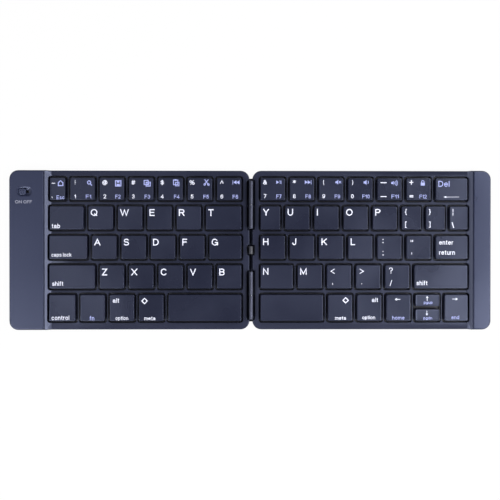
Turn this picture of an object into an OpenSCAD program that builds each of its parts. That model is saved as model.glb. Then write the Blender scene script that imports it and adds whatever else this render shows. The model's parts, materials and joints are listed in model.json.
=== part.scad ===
/* [Body] */
// Width of the open keyboard, from end to end
body_w = 296; // [295.5:0.5:300]
// Depth from the front edge to the back edge
body_d = 98; // [97.5:0.5:100]
// Height of the top of the end bars above the table
bar_top = 8; // [8:0.1:8.6]
// Thickness of the moulded side walls
wall = 1.2; // [1:0.1:1.3]
// Thickness of the base covers' floor
skin_t = 0.8; // [0.7:0.05:0.8]
// Radius of the four outer corners
outer_r = 5.4; // [4.5:0.1:5.5]
// Radius of the four corners beside the hinge
inner_r = 5.5; // [5.3:0.1:6]
// Width of the left end bar, which holds the electronics
left_bar_w = 21.25; // [21.1:0.05:21.4]
// Width of the right end bar
right_bar_w = 11; // [10.9:0.05:11.1]

/* [Keys] */
// Pitch of the letter keys across the keyboard
pitch = 18; // [17.9:0.05:18]
// Gap between neighbouring caps in a row
gap_x = 2.6; // [2.4:0.1:2.8]
// Gap between the caps of two rows
gap_y = 3.3; // [3:0.1:3.5]
// Clearance between a cap and its well
well_gap = 0.9; // [0.5:0.1:0.9]
// Height of a cap
cap_h = 2.6; // [2.4:0.1:2.6]
// Travel of a key
travel = 1.4; // [1:0.1:1.4]

/* [Hinge] */
// Outer radius of the knuckles
barrel_r = 1.35; // [1.3:0.05:1.5]
// Radius of the hinge pins
pin_r = 0.6; // [0.5:0.05:0.65]
// Radial clearance between a pin and the knuckles that turn on it
pin_play = 0.05; // [0.02:0.01:0.08]
// Clearance between two knuckles
knuckle_gap = 0.15; // [0.1:0.05:0.3]

/* [Power switch] */
// Length of the recess that the knob slides in
recess_w = 7.8; // [7.8:0.1:8.2]
// Width of the recess
recess_d = 4.6; // [4.5:0.1:5]
// Width of the dished rim around the recess
dish_w = 1.1; // [0.8:0.1:1.2]
// Length of the knob
knob_w = 4.4; // [4:0.1:4.4]
// Travel of the knob
knob_travel = 3; // [2:0.1:3]

/* [Feet] */
// Radius of a rubber foot
foot_r = 4; // [3:0.5:4.5]
// Height of the feet below the base covers
foot_h = 0.8; // [0.6:0.1:1]

/* [Hidden] */
LEFT = -1;
RIGHT = 1;
cut = 1; // how far a cutter runs past the face it cuts

// Heights, from the table up
skin_z = foot_h;
floor_z = skin_z + skin_t;
plate_t = 0.4;
membrane_t = 0.3;
bed_z = floor_z + plate_t + membrane_t;
deck_top = bar_top - 2.6;
deck_t = 1;
seam_z = deck_top - 2;
roof_t = 1;
axis_z = bar_top + 0.1;

// Plan, measured outwards from the hinge line; the left half is mirrored
half_w = body_w / 2;
half_d = body_d / 2;
edge_x = 0.9; // edge of a half beside the hinge line
notch_x = 2.05; // edge of a half beside the knuckles
notch_y = [12.9, 42.8];
flex_notch = [2, 3]; // x and y of the notch that the ribbon cable passes through
cavity_x = notch_x + wall;
lip_x = 0.1; // edge of the base cover's lip, below the knuckles
lip_y = 44.4; // end of the lips, a little past the knuckles
lap_x = 0.7; // how far the left lip's tongue reaches under the right lip, which closes the gap
lap_t = 0.35;
lap_gap = 0.05;
seam_gap = 0.1; // between the end bar and the key frame
function bar_x(s) = half_w - (s == LEFT ? left_bar_w : right_bar_w);
function frame_x(s) = bar_x(s) - seam_gap;
function slope_w(s) = s == LEFT ? 3.6 : 2.4; // width of the slope beside the end bar
slope_top = 0.4; // width of the level strip above the slope

// Keys: widths in pitches, from the hinge outwards, back row first
field_x = 4.4;
field_y = 46.3;
row_d = [17.4, 18.1, 18.1, 18.2, 20];
LEFT_ROWS = [
    [1, 1, 1, 1, 1, 1, 0.69],
    [1.38, 1, 1, 1, 1, 1.315],
    [1.26, 1, 1, 1, 1, 1.45],
    [1, 1, 1, 1, 1, 1.71],
    [2.66, 1, 1, 1, 1.06],
];
RIGHT_ROWS = [
    [1, 1, 1, 1, 1, 1, 1.26],
    [0.84, 1, 1, 1, 1, 0.825, 0.82, 0.785],
    [1, 1, 1, 1, 1, 1, 1.27],
    [1.27, 1, 1, 1, 1, 2],
    [2.31, 1, 1, 1, 1, 0.97],
];
ARROW_ROW = 4; // up and down share the fifth place of the right front row
ARROW_PLACE = 4;
arrow_gap = 1.3;
cap_r = 1;
cap_wall = 0.8;
cap_roof = 0.9;
cap_step = 0.3;
cap_top = deck_top + 1.8;
cap_z = cap_top - cap_h;
well_r = 1.6;

// Scissor links, domes and stabiliser wires
link_w = 0.6;
link_t = 0.7;
link_play = 0.03;
lift = cap_top - cap_roof - bed_z - 2 * link_play;
dome_z = 3;
hook_w = 2.4;
hook_h = 1;
wire_r = 0.4;
wide_key = 24;

// Hinge brackets and pins: outer knuckles on the left half, inner ones on the right
knuckle_y = [13.2, 27.9, 42.5];
function knuckle(s) = s == LEFT ? [knuckle_y[1] + knuckle_gap, knuckle_y[2]] : [knuckle_y[0], knuckle_y[1]];
web_x = 0.25;
web_t = 1;
foot_plate = [5.2, 1.2]; // reach and thickness of a bracket's foot
flex_w = 4.6;
flex_t = 0.15;
flex_r = 1.15;

// Screws: head, shank and the height that each reaches
screw_head_r = 1.1;
screw_head_z = skin_z + 0.5;
screw_r = 0.65;
screw_play = 0.05;
bracket_screw_x = 3.65;
edge_screw = [3.3, 8.5];
bar_screw = [144.6, 44.4];
inner_bar_screw_x = 130.6;
boss_r = 2.2;
edge_boss_r = 1.6;

// Electronics in the left end bar
board_z = seam_z - 0.8;
board = [129, 146.5, 9, 41.5];
tongue = [133.3, 141.3, 47.5];
tail_y = 14;
tail_w = 8;
port_x = 137.35;
port = [7.5, 5.4, 2.5];
battery_box = [11, 47, 4.6];
switch_at = [138.5, 35.8];
dish_t = 0.3;
knob_x = switch_at[0] + knob_travel / 2;
recess_z = bar_top - 1.8;
stem_w = 1.2;
magnet = [5, 12, 1.6];
magnet_x = 142.75;
magnet_y = [14, -30];
foot_at = [10, 140, 40];
hook_x = [25, 62, 99];

// ---- Plan outlines ----

function arc(cx, cy, r, a0, a1, n = 4) =
    [for (i = [0:n]) let (a = a0 + (a1 - a0) * i / n) [cx + r * cos(a), cy + r * sin(a)]];

function round_rect(x0, x1, y0, y1, r, n = 4) = concat(
    arc(x1 - r, y1 - r, r, 0, 90, n), arc(x0 + r, y1 - r, r, 90, 180, n),
    arc(x0 + r, y0 + r, r, 180, 270, n), arc(x1 - r, y0 + r, r, 270, 360, n));

// The edge beside the hinge, from the back to the front, with its notches
function hinge_edge() = [
    [edge_x, notch_y[1]], [notch_x, notch_y[1]], [notch_x, notch_y[0]], [edge_x, notch_y[0]],
    [edge_x, flex_notch[1]], flex_notch, [flex_notch[0], -flex_notch[1]], [edge_x, -flex_notch[1]],
    [edge_x, -notch_y[0]], [notch_x, -notch_y[0]], [notch_x, -notch_y[1]], [edge_x, -notch_y[1]]];

function half_outline() = concat(
    arc(edge_x + inner_r, inner_r - half_d, inner_r, 180, 270, 8),
    arc(half_w - outer_r, outer_r - half_d, outer_r, 270, 360, 6),
    arc(half_w - outer_r, half_d - outer_r, outer_r, 0, 90, 6),
    arc(edge_x + inner_r, half_d - inner_r, inner_r, 90, 180, 8),
    hinge_edge());

function frame_outline(s) = concat(
    arc(edge_x + inner_r, inner_r - half_d, inner_r, 180, 270, 8),
    [[frame_x(s), -half_d], [frame_x(s), half_d]],
    arc(edge_x + inner_r, half_d - inner_r, inner_r, 90, 180, 8),
    hinge_edge());

function bar_outline(s, inset) = concat(
    [[bar_x(s) + inset, inset - half_d]],
    arc(half_w - outer_r, outer_r - half_d, outer_r - inset, 270, 360, 6),
    arc(half_w - outer_r, half_d - outer_r, outer_r - inset, 0, 90, 6),
    [[bar_x(s) + inset, half_d - inset]]);

module layer(points, z0, z1) translate([0, 0, z0]) linear_extrude(z1 - z0) polygon(points);

module block(x0, x1, y0, y1, z0, z1) translate([x0, y0, z0]) cube([x1 - x0, y1 - y0, z1 - z0]);

module post(x, y, r, z0, z1) translate([x, y, z0]) cylinder(h = z1 - z0, r = r, $fn = 32);

// A half's parts are drawn outwards along +X and mirrored for the left half
module side(s) mirror([s == LEFT ? 1 : 0, 0, 0]) children();

// What stands at the back and at the front alike
module both_ends() for (m = [0, 1]) mirror([0, m, 0]) children();

// ---- Key places ----

function rows(s) = s == LEFT ? LEFT_ROWS : RIGHT_ROWS;
function total(v, n) = n == 0 ? 0 : v[n - 1] + total(v, n - 1);
function edge(s, r, i) = field_x + pitch * total(rows(s)[r], i);
function row_back(r) = field_y - total(row_d, r) - gap_y / 2;
function row_front(r) = field_y - total(row_d, r + 1) + gap_y / 2;

// One cap's place as [inner x, outer x, front y, back y]
function cell(s, r, i) =
    [edge(s, r, i) + gap_x / 2, edge(s, r, i + 1) - gap_x / 2, row_front(r), row_back(r)];
function grown(c, by) = [c[0] - by, c[1] + by, c[2] - by, c[3] + by];
function mid_x(c) = (c[0] + c[1]) / 2;
function mid_y(c) = (c[2] + c[3]) / 2;
function arrow_cell(back) = let (c = cell(RIGHT, ARROW_ROW, ARROW_PLACE))
    back ? [c[0], c[1], mid_y(c) + arrow_gap / 2, c[3]] : [c[0], c[1], c[2], mid_y(c) - arrow_gap / 2];

function is_arrows(s, r, i) = s == RIGHT && r == ARROW_ROW && i == ARROW_PLACE;
function wells(s) = [for (r = [0:4]) for (i = [0:len(rows(s)[r]) - 1]) cell(s, r, i)];
function places(s) = [for (r = [0:4]) for (i = [0:len(rows(s)[r]) - 1])
    each is_arrows(s, r, i) ? [arrow_cell(true), arrow_cell(false)] : [cell(s, r, i)]];

// ---- Key mechanism sizes ----

function link_half(c) = min(5, (c[3] - c[2]) / 2 - 1);
function link_len(c) = min(9.6, c[1] - c[0] - 2.4);
function link_tilt(c) = asin((lift - link_t) / link_len(c));
function inner_link_half(c) = link_half(c) - link_w - 0.2;
function dome_r(c) = min(2.6, inner_link_half(c) - link_w - 0.1);
function hook_at(c) = link_len(c) * cos(link_tilt(c)) / 2 + 0.3;

module cap(c) {
    ceiling = cap_top - cap_roof;
    top = grown(c, -cap_step);
    hollow = grown(c, -cap_wall);
    difference() {
        union() {
            layer(round_rect(c[0], c[1], c[2], c[3], cap_r, 3), cap_z, cap_top - cap_step);
            layer(round_rect(top[0], top[1], top[2], top[3], cap_r, 3), cap_top - 2 * cap_step, cap_top);
        }
        block(hollow[0], hollow[1], hollow[2], hollow[3], cap_z - cut, ceiling);
    }
    post(mid_x(c), mid_y(c), dome_r(c) / 2, bed_z + dome_z + 0.05, ceiling + 0.1);
}

module caps(s, r, first, last) color([0.17, 0.18, 0.25]) side(s) for (i = [first:last]) cap(cell(s, r, i));

module dome(c) translate([mid_x(c), mid_y(c), bed_z]) difference() {
    union() {
        cylinder(h = dome_z * 0.75, r1 = dome_r(c), r2 = dome_r(c) / 2, $fn = 24);
        cylinder(h = dome_z, r = dome_r(c) / 2, $fn = 24);
    }
    translate([0, 0, -cut]) cylinder(h = dome_z * 0.6 + cut, r = dome_r(c) / 2 - 0.3, $fn = 24);
}

module link(length, half) linear_extrude(link_t, center = true) difference() {
    square([length, 2 * half], center = true);
    square([length - 2 * link_w, 2 * (half - link_w)], center = true);
}

module scissor(c) {
    tilt = link_tilt(c);
    translate([mid_x(c), mid_y(c), bed_z + link_play + lift / 2]) {
        rotate([0, tilt, 0]) link(link_len(c), link_half(c));
        rotate([0, -tilt, 0]) link(link_len(c), inner_link_half(c));
        both_ends() translate([0, inner_link_half(c) - link_w / 2, 0])
            rotate([-90, 0, 0]) cylinder(h = link_w + 0.2, r = 0.3, $fn = 8);
    }
}

// The wire under a long cap that keeps its two ends level
module stabilizer(c) {
    back_y = mid_y(c) + 6.1;
    high = cap_top - cap_roof - wire_r - 0.15;
    low = bed_z + wire_r + 0.1;
    reach = 6;
    tilt = atan2(high - low, reach);
    ends = [c[0] + 3, c[1] - 3];
    translate([ends[0], back_y, high]) rotate([0, 90, 0])
        cylinder(h = ends[1] - ends[0], r = wire_r, $fn = 8);
    for (x = ends) {
        translate([x, back_y, high]) rotate([90 + tilt, 0, 0])
            cylinder(h = reach / cos(tilt), r = wire_r, $fn = 8);
        translate([x - 0.9, back_y - reach, low]) rotate([0, 90, 0])
            cylinder(h = 1.8, r = wire_r, $fn = 8);
    }
}

// ---- Fasteners ----

function bracket_screws(s) = let (k = knuckle(s)) [for (t = [0.17, 0.5, 0.83]) k[0] + (k[1] - k[0]) * t];
function bar_screws(s) = s == LEFT ? [bar_screw[0], inner_bar_screw_x] : [bar_screw[0]];

module screw(x, y, top) {
    head_z = skin_z + 0.05;
    difference() {
        post(x, y, screw_head_r, head_z, screw_head_z);
        for (a = [0, 90]) translate([x, y, head_z]) rotate(a) cube([1.5, 0.3, 0.5], center = true);
    }
    post(x, y, screw_r, screw_head_z, top);
}

module screws(s) both_ends() {
    for (y = bracket_screws(s)) screw(bracket_screw_x, y, floor_z + foot_plate[1]);
    for (x = bar_screws(s)) screw(x, bar_screw[1], bar_top - roof_t - 0.8);
    screw(edge_screw[0], edge_screw[1], deck_top - 0.5);
}

module screw_hole(x, y, top) {
    post(x, y, screw_head_r + screw_play, skin_z - cut, screw_head_z);
    post(x, y, screw_r + screw_play, skin_z, top);
}

module screw_holes(s) both_ends() {
    for (y = bracket_screws(s)) screw_hole(bracket_screw_x, y, floor_z + foot_plate[1] + cut);
    for (x = bar_screws(s)) screw_hole(x, bar_screw[1], bar_top - roof_t - 0.6);
    screw_hole(edge_screw[0], edge_screw[1], deck_top - 0.4);
}

// ---- Shells ----

// The lips meet under the knuckles: the left one carries a tongue that the right one lies over
module lip(s) {
    foot = s == LEFT ? skin_z : skin_z + lap_t + lap_gap;
    block(lip_x, cavity_x, -lip_y, lip_y, foot, floor_z);
    if (s == LEFT) block(-lap_x, cavity_x, -lip_y, lip_y, skin_z, skin_z + lap_t);
}

module base_cover(s) {
    divider = [frame_x(s) - 0.85, bar_x(s) + wall];
    k = knuckle(s);
    color([0.3, 0.31, 0.37]) side(s) difference() {
        union() {
            layer(half_outline(), skin_z, floor_z);
            lip(s);
            difference() {
                layer(half_outline(), floor_z - 0.1, seam_z);
                layer(round_rect(cavity_x, half_w - wall, wall - half_d, half_d - wall, outer_r - wall),
                    floor_z, seam_z + cut);
            }
            block(divider[0], divider[1], wall - half_d - 0.1, half_d - wall + 0.1, floor_z - 0.1, seam_z);
            both_ends() {
                for (x = bar_screws(s)) post(x, bar_screw[1], boss_r, floor_z - 0.1, seam_z);
                post(edge_screw[0], edge_screw[1], edge_boss_r, floor_z - 0.1, seam_z);
            }
            if (s == LEFT)
                for (y = [22, 40]) block(board[0] + 1, board[1] - 1, y - 0.6, y + 0.6, floor_z - 0.1, board_z);
        }
        screw_holes(s);
        both_ends() {
            for (x = [foot_at[0], foot_at[1]]) post(x, foot_at[2], foot_r + 0.05, skin_z - cut, skin_z + 0.3);
            block(notch_x - cut, cavity_x + 0.5, k[0] - 0.2, k[1] + 0.2, floor_z, seam_z + cut);
            for (x = hook_x) block(x - 4.2, x + 4.2, half_d - wall - cut, half_d - wall + 0.4, 2.4, 3);
        }
        block(flex_notch[0] - cut, cavity_x + 0.5, -flex_w / 2 - 0.3, flex_w / 2 + 0.3, bed_z, seam_z + cut);
        if (s == LEFT) block(divider[0] - cut, divider[1] + cut, tail_y - tail_w / 2 - 0.2,
            tail_y + tail_w / 2 + 0.2, floor_z, bed_z + 0.2);
    }
}

// The moulded frame around the keys, with the slope that rises to the end bar
module key_frame(s) {
    out = frame_x(s);
    foot = out - slope_top - slope_w(s);
    slope = [[out, seam_z], [out, bar_top], [out - slope_top, bar_top], [foot, deck_top],
        [foot, deck_top - deck_t], [out - 1.2, deck_top - deck_t], [out - 1.2, seam_z]];
    color([0.22, 0.23, 0.31]) side(s) difference() {
        union() {
            layer(frame_outline(s), deck_top - deck_t, deck_top);
            difference() {
                layer(frame_outline(s), seam_z, deck_top - deck_t + 0.1);
                layer(round_rect(cavity_x, out - 0.85, wall - half_d, half_d - wall, 3), seam_z - cut, deck_top - deck_t);
            }
            rotate([90, 0, 0]) linear_extrude(body_d, center = true) polygon(slope);
            both_ends() {
                post(edge_screw[0], edge_screw[1], edge_boss_r, seam_z, deck_top - 0.1);
                for (x = hook_x) {
                    block(x - 4, x + 4, half_d - wall - 0.8, half_d - wall - 0.05, 2.5, deck_top - 0.1);
                    block(x - 4, x + 4, half_d - wall - 0.1, half_d - wall + 0.3, 2.5, 2.9);
                }
            }
        }
        for (c = wells(s)) let (w = grown(c, well_gap))
            layer(round_rect(w[0], w[1], w[2], w[3], well_r, 3), seam_z - cut, bar_top + cut);
        screw_holes(s);
    }
}

module bar_shell(s) {
    difference() {
        layer(bar_outline(s, 0), seam_z, bar_top);
        layer(bar_outline(s, wall), seam_z - cut, bar_top - roof_t);
    }
    both_ends() for (x = bar_screws(s)) post(x, bar_screw[1], boss_r, seam_z, bar_top - roof_t + 0.1);
}

module recess_plan(grow) {
    w = recess_w / 2 + grow;
    d = recess_d / 2 + grow;
    polygon(round_rect(switch_at[0] - w, switch_at[0] + w, switch_at[1] - d, switch_at[1] + d, 1.8 + grow));
}

// ---- Sheets, magnets and feet ----

function sheet_outline(s) = round_rect(foot_plate[0] + 0.2, frame_x(s) - 1.05, wall + 0.2 - half_d,
    half_d - wall - 0.2, 2);

module hooks(s, grow, z0, z1) for (c = places(s)) for (m = [-1, 1])
    translate([mid_x(c) + m * (hook_at(c) + 0.25), mid_y(c), (z0 + z1) / 2])
        cube([0.5 + 2 * grow, hook_w + 2 * grow, z1 - z0], center = true);

module key_plate(s) color([0.16, 0.16, 0.18]) side(s) {
    layer(sheet_outline(s), floor_z, floor_z + plate_t);
    hooks(s, 0, floor_z + plate_t - 0.1, floor_z + plate_t + hook_h);
}

module membrane(s) color([0.2, 0.21, 0.24]) side(s) difference() {
    union() {
        layer(sheet_outline(s), floor_z + plate_t, bed_z);
        if (s == LEFT) block(frame_x(s) - 2, frame_x(s) + 4.35, tail_y - tail_w / 2, tail_y + tail_w / 2,
            floor_z + plate_t, bed_z);
    }
    hooks(s, 0.1, floor_z, bed_z + cut);
}

module magnets(s) color([0.7, 0.7, 0.72]) side(s) for (y = magnet_y)
    translate([magnet_x, y, bar_top - roof_t - magnet[2] / 2]) cube(magnet, center = true);

module feet(s) color([0.09, 0.09, 0.1]) side(s) both_ends()
    for (x = [foot_at[0], foot_at[1]]) post(x, foot_at[2], foot_r, 0, skin_z + 0.3);

// ---- Hinge ----

module along_y(y0, y1, r) translate([0, y0, axis_z]) rotate([-90, 0, 0]) cylinder(h = y1 - y0, r = r, $fn = 48);

module hinge_brackets(s, bore_r) color([0.5, 0.51, 0.56]) side(s) {
    k = knuckle(s);
    both_ends() difference() {
        union() {
            along_y(k[0], k[1], barrel_r);
            block(web_x, web_x + web_t, k[0], k[1], floor_z, axis_z - 0.4);
            block(web_x, foot_plate[0], k[0], k[1], floor_z, floor_z + foot_plate[1]);
        }
        along_y(k[0] - cut, k[1] + cut, bore_r);
        for (y = bracket_screws(s))
            post(bracket_screw_x, y, screw_r + screw_play, floor_z - cut, floor_z + foot_plate[1] + cut);
    }
}

// ---- Left half ----

module left_base_cover() base_cover(LEFT);
module left_key_frame() key_frame(LEFT);

module left_bar_cover() color([0.26, 0.27, 0.36]) side(LEFT) difference() {
    union() {
        bar_shell(LEFT);
        translate([0, 0, recess_z - 0.6]) linear_extrude(bar_top - recess_z + 0.5) recess_plan(0.8);
    }
    translate([0, 0, recess_z]) linear_extrude(bar_top) recess_plan(0);
    hull() {
        translate([0, 0, bar_top - dish_t]) linear_extrude(0.01) recess_plan(0);
        translate([0, 0, bar_top]) linear_extrude(cut) recess_plan(dish_w);
    }
    block(knob_x - knob_travel - stem_w / 2 - 0.2, knob_x + stem_w / 2 + 0.2,
        switch_at[1] - 0.8, switch_at[1] + 0.8, recess_z - cut, recess_z + cut);
    block(port_x - 3.95, port_x + 3.95, half_d - wall - cut, half_d + cut, seam_z - cut, seam_z + port[2] + 0.2);
    screw_holes(LEFT);
}

module left_key_plate() key_plate(LEFT);
module left_membrane() membrane(LEFT);
module left_domes() color([0.85, 0.85, 0.87]) side(LEFT) for (c = places(LEFT)) dome(c);
module left_scissors() color([0.2, 0.2, 0.22]) side(LEFT) for (c = places(LEFT)) scissor(c);
module left_stabilizer_wires() color([0.75, 0.75, 0.77]) side(LEFT)
    for (c = places(LEFT)) if (c[1] - c[0] > wide_key) stabilizer(c);
module left_magnets() magnets(LEFT);
module left_feet() feet(LEFT);
module left_screws() color([0.15, 0.15, 0.17]) side(LEFT) screws(LEFT);
module left_hinge_brackets() hinge_brackets(LEFT, pin_r + 0.005);
module hinge_pins() color([0.75, 0.76, 0.78]) both_ends() along_y(knuckle_y[0] + 0.1, knuckle_y[2] - 0.1, pin_r);

// The ribbon that carries the right half's keys to the left half, looped over the hinge line
module flex_cable() {
    lying = bed_z + 0.02;
    hub = axis_z - flex_r;
    out = flex_r + flex_t / 2;
    in = flex_r - flex_t / 2;
    reach = foot_plate[0] + 2.2;
    color([0.55, 0.56, 0.62]) rotate([90, 0, 0]) linear_extrude(flex_w, center = true) polygon(concat(
        [[reach, lying], [reach, lying + flex_t], [out, lying + flex_t]], arc(0, hub, out, 0, 180, 12),
        [[-out, lying + flex_t], [-reach, lying + flex_t], [-reach, lying], [-in, lying]],
        arc(0, hub, in, 180, 0, 12), [[in, lying]]));
}

module circuit_board() color([0.1, 0.35, 0.22]) side(LEFT) {
    top = board_z + 0.8;
    block(board[0], board[1], board[2], board[3], board_z, top);
    block(tongue[0], tongue[1], board[3] - 0.1, tongue[2], board_z, top);
    block(135, 141, 15, 21, top - 0.1, top + 0.9); // processor
    block(131, 134.2, 25, 26.6, top - 0.1, top + 0.6); // crystal
    for (y = [28, 30, 32]) block(131, 132.6, y, y + 0.8, top - 0.1, top + 0.5); // capacitors
    difference() { // socket for the membrane's tail
        block(board[0] + 1, board[0] + 4.4, tail_y - tail_w / 2 - 0.4, tail_y + tail_w / 2 + 0.4, floor_z, board_z + 0.1);
        block(board[0], board[0] + 2.05, tail_y - tail_w / 2 - 0.05, tail_y + tail_w / 2 + 0.05,
            floor_z + plate_t - 0.05, bed_z + 0.05);
    }
}

module battery() color([0.78, 0.79, 0.8]) side(LEFT) {
    x = bar_x(LEFT) + wall + 0.45;
    y = board[2] - 3;
    layer(round_rect(x, x + battery_box[0], y - battery_box[1], y, 1), floor_z, floor_z + battery_box[2]);
    for (dx = [4, 6]) translate([x + dx, y - 0.5, seam_z + 0.44]) rotate([-90, 0, 0])
        cylinder(h = 5, r = 0.4, $fn = 16);
}

module charge_port() color([0.8, 0.8, 0.82]) side(LEFT)
    translate([port_x, half_d - 0.2, seam_z + port[2] / 2]) rotate([90, 0, 0]) {
        w = port[0] / 2;
        h = port[2] / 2;
        linear_extrude(port[1]) difference() {
            polygon(round_rect(-w, w, -h, h, 0.7, 3));
            polygon(round_rect(0.3 - w, w - 0.3, 0.3 - h, h - 0.3, 0.4, 3));
        }
        translate([-w + 0.3, -h + 0.3, port[1] - 0.6]) cube([2 * w - 0.6, 2 * h - 0.6, 0.6]);
        translate([-2, -0.3, 1.2]) cube([4, 0.6, port[1] - 1.5]);
    }

module switch_body() color([0.3, 0.3, 0.32]) side(LEFT) difference() {
    block(switch_at[0] - 4.3, switch_at[0] + 4.3, switch_at[1] - 1.9, switch_at[1] + 1.9, seam_z, recess_z - 0.7);
    block(knob_x - knob_travel - stem_w / 2 - 0.2, knob_x + stem_w / 2 + 0.2,
        switch_at[1] - 0.8, switch_at[1] + 0.8, seam_z + 0.8, recess_z);
}

// The knob rests at the outer end of its recess, which is ON
module power_switch_knob() color([0.2, 0.21, 0.26]) side(LEFT) {
    foot = recess_z + 0.05;
    top = bar_top - 0.4;
    layer(round_rect(knob_x - knob_w / 2, knob_x + knob_w / 2, switch_at[1] - 1.9, switch_at[1] + 1.9, 1.2, 3),
        foot, top);
    for (dx = [-1.2, 0, 1.2])
        block(knob_x + dx - 0.25, knob_x + dx + 0.25, switch_at[1] - 1.4, switch_at[1] + 1.4, top - 0.1, top + 0.25);
    block(knob_x - stem_w / 2, knob_x + stem_w / 2, switch_at[1] - stem_w / 2, switch_at[1] + stem_w / 2,
        seam_z + 1, foot + 0.1);
}

// ---- Right half ----

module right_base_cover() base_cover(RIGHT);
module right_key_frame() key_frame(RIGHT);

module right_bar_cover() color([0.26, 0.27, 0.36]) side(RIGHT) difference() {
    bar_shell(RIGHT);
    screw_holes(RIGHT);
}

module right_key_plate() key_plate(RIGHT);
module right_membrane() membrane(RIGHT);
module right_domes() color([0.85, 0.85, 0.87]) side(RIGHT) for (c = places(RIGHT)) dome(c);
module right_scissors() color([0.2, 0.2, 0.22]) side(RIGHT) for (c = places(RIGHT)) scissor(c);
module right_stabilizer_wires() color([0.75, 0.75, 0.77]) side(RIGHT)
    for (c = places(RIGHT)) if (c[1] - c[0] > wide_key) stabilizer(c);
module right_magnets() magnets(RIGHT);
module right_feet() feet(RIGHT);
module right_screws() color([0.15, 0.15, 0.17]) side(RIGHT) screws(RIGHT);
module right_hinge_brackets() hinge_brackets(RIGHT, pin_r + pin_play);

// ---- Keys, counted from the hinge outwards ----

module key_esc() caps(LEFT, 0, 6, 6);
module keys_1_to_6() caps(LEFT, 0, 0, 5);
module key_tab() caps(LEFT, 1, 5, 5);
module keys_q_to_t() caps(LEFT, 1, 0, 4);
module key_caps() caps(LEFT, 2, 5, 5);
module keys_a_to_g() caps(LEFT, 2, 0, 4);
module key_shift_left() caps(LEFT, 3, 5, 5);
module keys_z_to_b() caps(LEFT, 3, 0, 4);
module key_ctrl() caps(LEFT, 4, 4, 4);
module key_fn() caps(LEFT, 4, 3, 3);
module key_alt_left() caps(LEFT, 4, 2, 2);
module key_meta_left() caps(LEFT, 4, 1, 1);
module key_space_left() caps(LEFT, 4, 0, 0);
module keys_7_to_equals() caps(RIGHT, 0, 0, 5);
module key_delete() caps(RIGHT, 0, 6, 6);
module keys_y_to_p() caps(RIGHT, 1, 0, 4);
module keys_brackets() caps(RIGHT, 1, 5, 7);
module keys_h_to_l() caps(RIGHT, 2, 0, 3);
module keys_semicolon_quote() caps(RIGHT, 2, 4, 5);
module key_enter() caps(RIGHT, 2, 6, 6);
module keys_n_to_slash() caps(RIGHT, 3, 0, 4);
module key_shift_right() caps(RIGHT, 3, 5, 5);
module key_space_right() caps(RIGHT, 4, 0, 0);
module key_meta_right() caps(RIGHT, 4, 1, 1);
module key_alt_right() caps(RIGHT, 4, 2, 2);
module key_arrow_left() caps(RIGHT, 4, 3, 3);
module key_arrow_up() color([0.17, 0.18, 0.25]) cap(arrow_cell(true));
module key_arrow_down() color([0.17, 0.18, 0.25]) cap(arrow_cell(false));
module key_arrow_right() caps(RIGHT, 4, 5, 5);

left_base_cover();
left_key_frame();
left_bar_cover();
left_key_plate();
left_membrane();
left_domes();
left_scissors();
left_stabilizer_wires();
left_magnets();
left_feet();
left_screws();
left_hinge_brackets();
hinge_pins();
flex_cable();
circuit_board();
battery();
charge_port();
switch_body();
power_switch_knob();
right_base_cover();
right_key_frame();
right_bar_cover();
right_key_plate();
right_membrane();
right_domes();
right_scissors();
right_stabilizer_wires();
right_magnets();
right_feet();
right_screws();
right_hinge_brackets();
key_esc();
keys_1_to_6();
key_tab();
keys_q_to_t();
key_caps();
keys_a_to_g();
key_shift_left();
keys_z_to_b();
key_ctrl();
key_fn();
key_alt_left();
key_meta_left();
key_space_left();
keys_7_to_equals();
key_delete();
keys_y_to_p();
keys_brackets();
keys_h_to_l();
keys_semicolon_quote();
key_enter();
keys_n_to_slash();
key_shift_right();
key_space_right();
key_meta_right();
key_alt_right();
key_arrow_left();
key_arrow_up();
key_arrow_down();
key_arrow_right();
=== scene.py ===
"""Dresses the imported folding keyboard: shells, caps with their legends, ribbon, finishes, studio."""
import json
import logging
import math
from collections.abc import Callable
from dataclasses import dataclass, field
from enum import Enum, auto
from typing import ClassVar

import bmesh
import bpy
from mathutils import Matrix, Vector


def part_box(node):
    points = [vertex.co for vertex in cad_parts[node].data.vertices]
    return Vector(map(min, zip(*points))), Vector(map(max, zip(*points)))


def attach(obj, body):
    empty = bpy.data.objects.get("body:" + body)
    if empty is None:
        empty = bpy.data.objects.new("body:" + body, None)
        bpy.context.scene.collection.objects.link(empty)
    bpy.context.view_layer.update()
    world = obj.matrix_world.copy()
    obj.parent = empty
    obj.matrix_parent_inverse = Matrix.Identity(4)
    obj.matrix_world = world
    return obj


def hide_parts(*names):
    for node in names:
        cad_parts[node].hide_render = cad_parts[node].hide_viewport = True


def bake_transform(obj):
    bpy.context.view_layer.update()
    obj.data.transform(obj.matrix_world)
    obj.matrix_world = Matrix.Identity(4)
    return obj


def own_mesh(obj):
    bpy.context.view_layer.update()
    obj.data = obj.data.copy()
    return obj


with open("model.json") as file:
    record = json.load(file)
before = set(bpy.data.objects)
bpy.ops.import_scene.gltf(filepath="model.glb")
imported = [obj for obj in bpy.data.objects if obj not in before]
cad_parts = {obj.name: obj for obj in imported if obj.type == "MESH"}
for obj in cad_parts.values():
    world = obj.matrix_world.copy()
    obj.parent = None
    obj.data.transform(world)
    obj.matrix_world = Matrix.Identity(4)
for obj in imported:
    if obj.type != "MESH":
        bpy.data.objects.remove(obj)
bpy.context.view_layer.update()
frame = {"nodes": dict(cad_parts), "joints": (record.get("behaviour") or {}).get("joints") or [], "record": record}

LOG = logging.getLogger("folding_keyboard")
MM = 0.001
FLAT_ANGLE = math.radians(0.3)  # faces that meet at less than this are one face
LEVEL = 0.01  # points whose heights differ by less than this, in millimetres, are level
WELD = 0.0005  # points of a CAD mesh that lie nearer than this, in millimetres, are one point
SIDES = ("left", "right")

Colour = tuple[float, float, float]
Line = list[Vector]


# ---- Meshes, in millimetres ----


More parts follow.
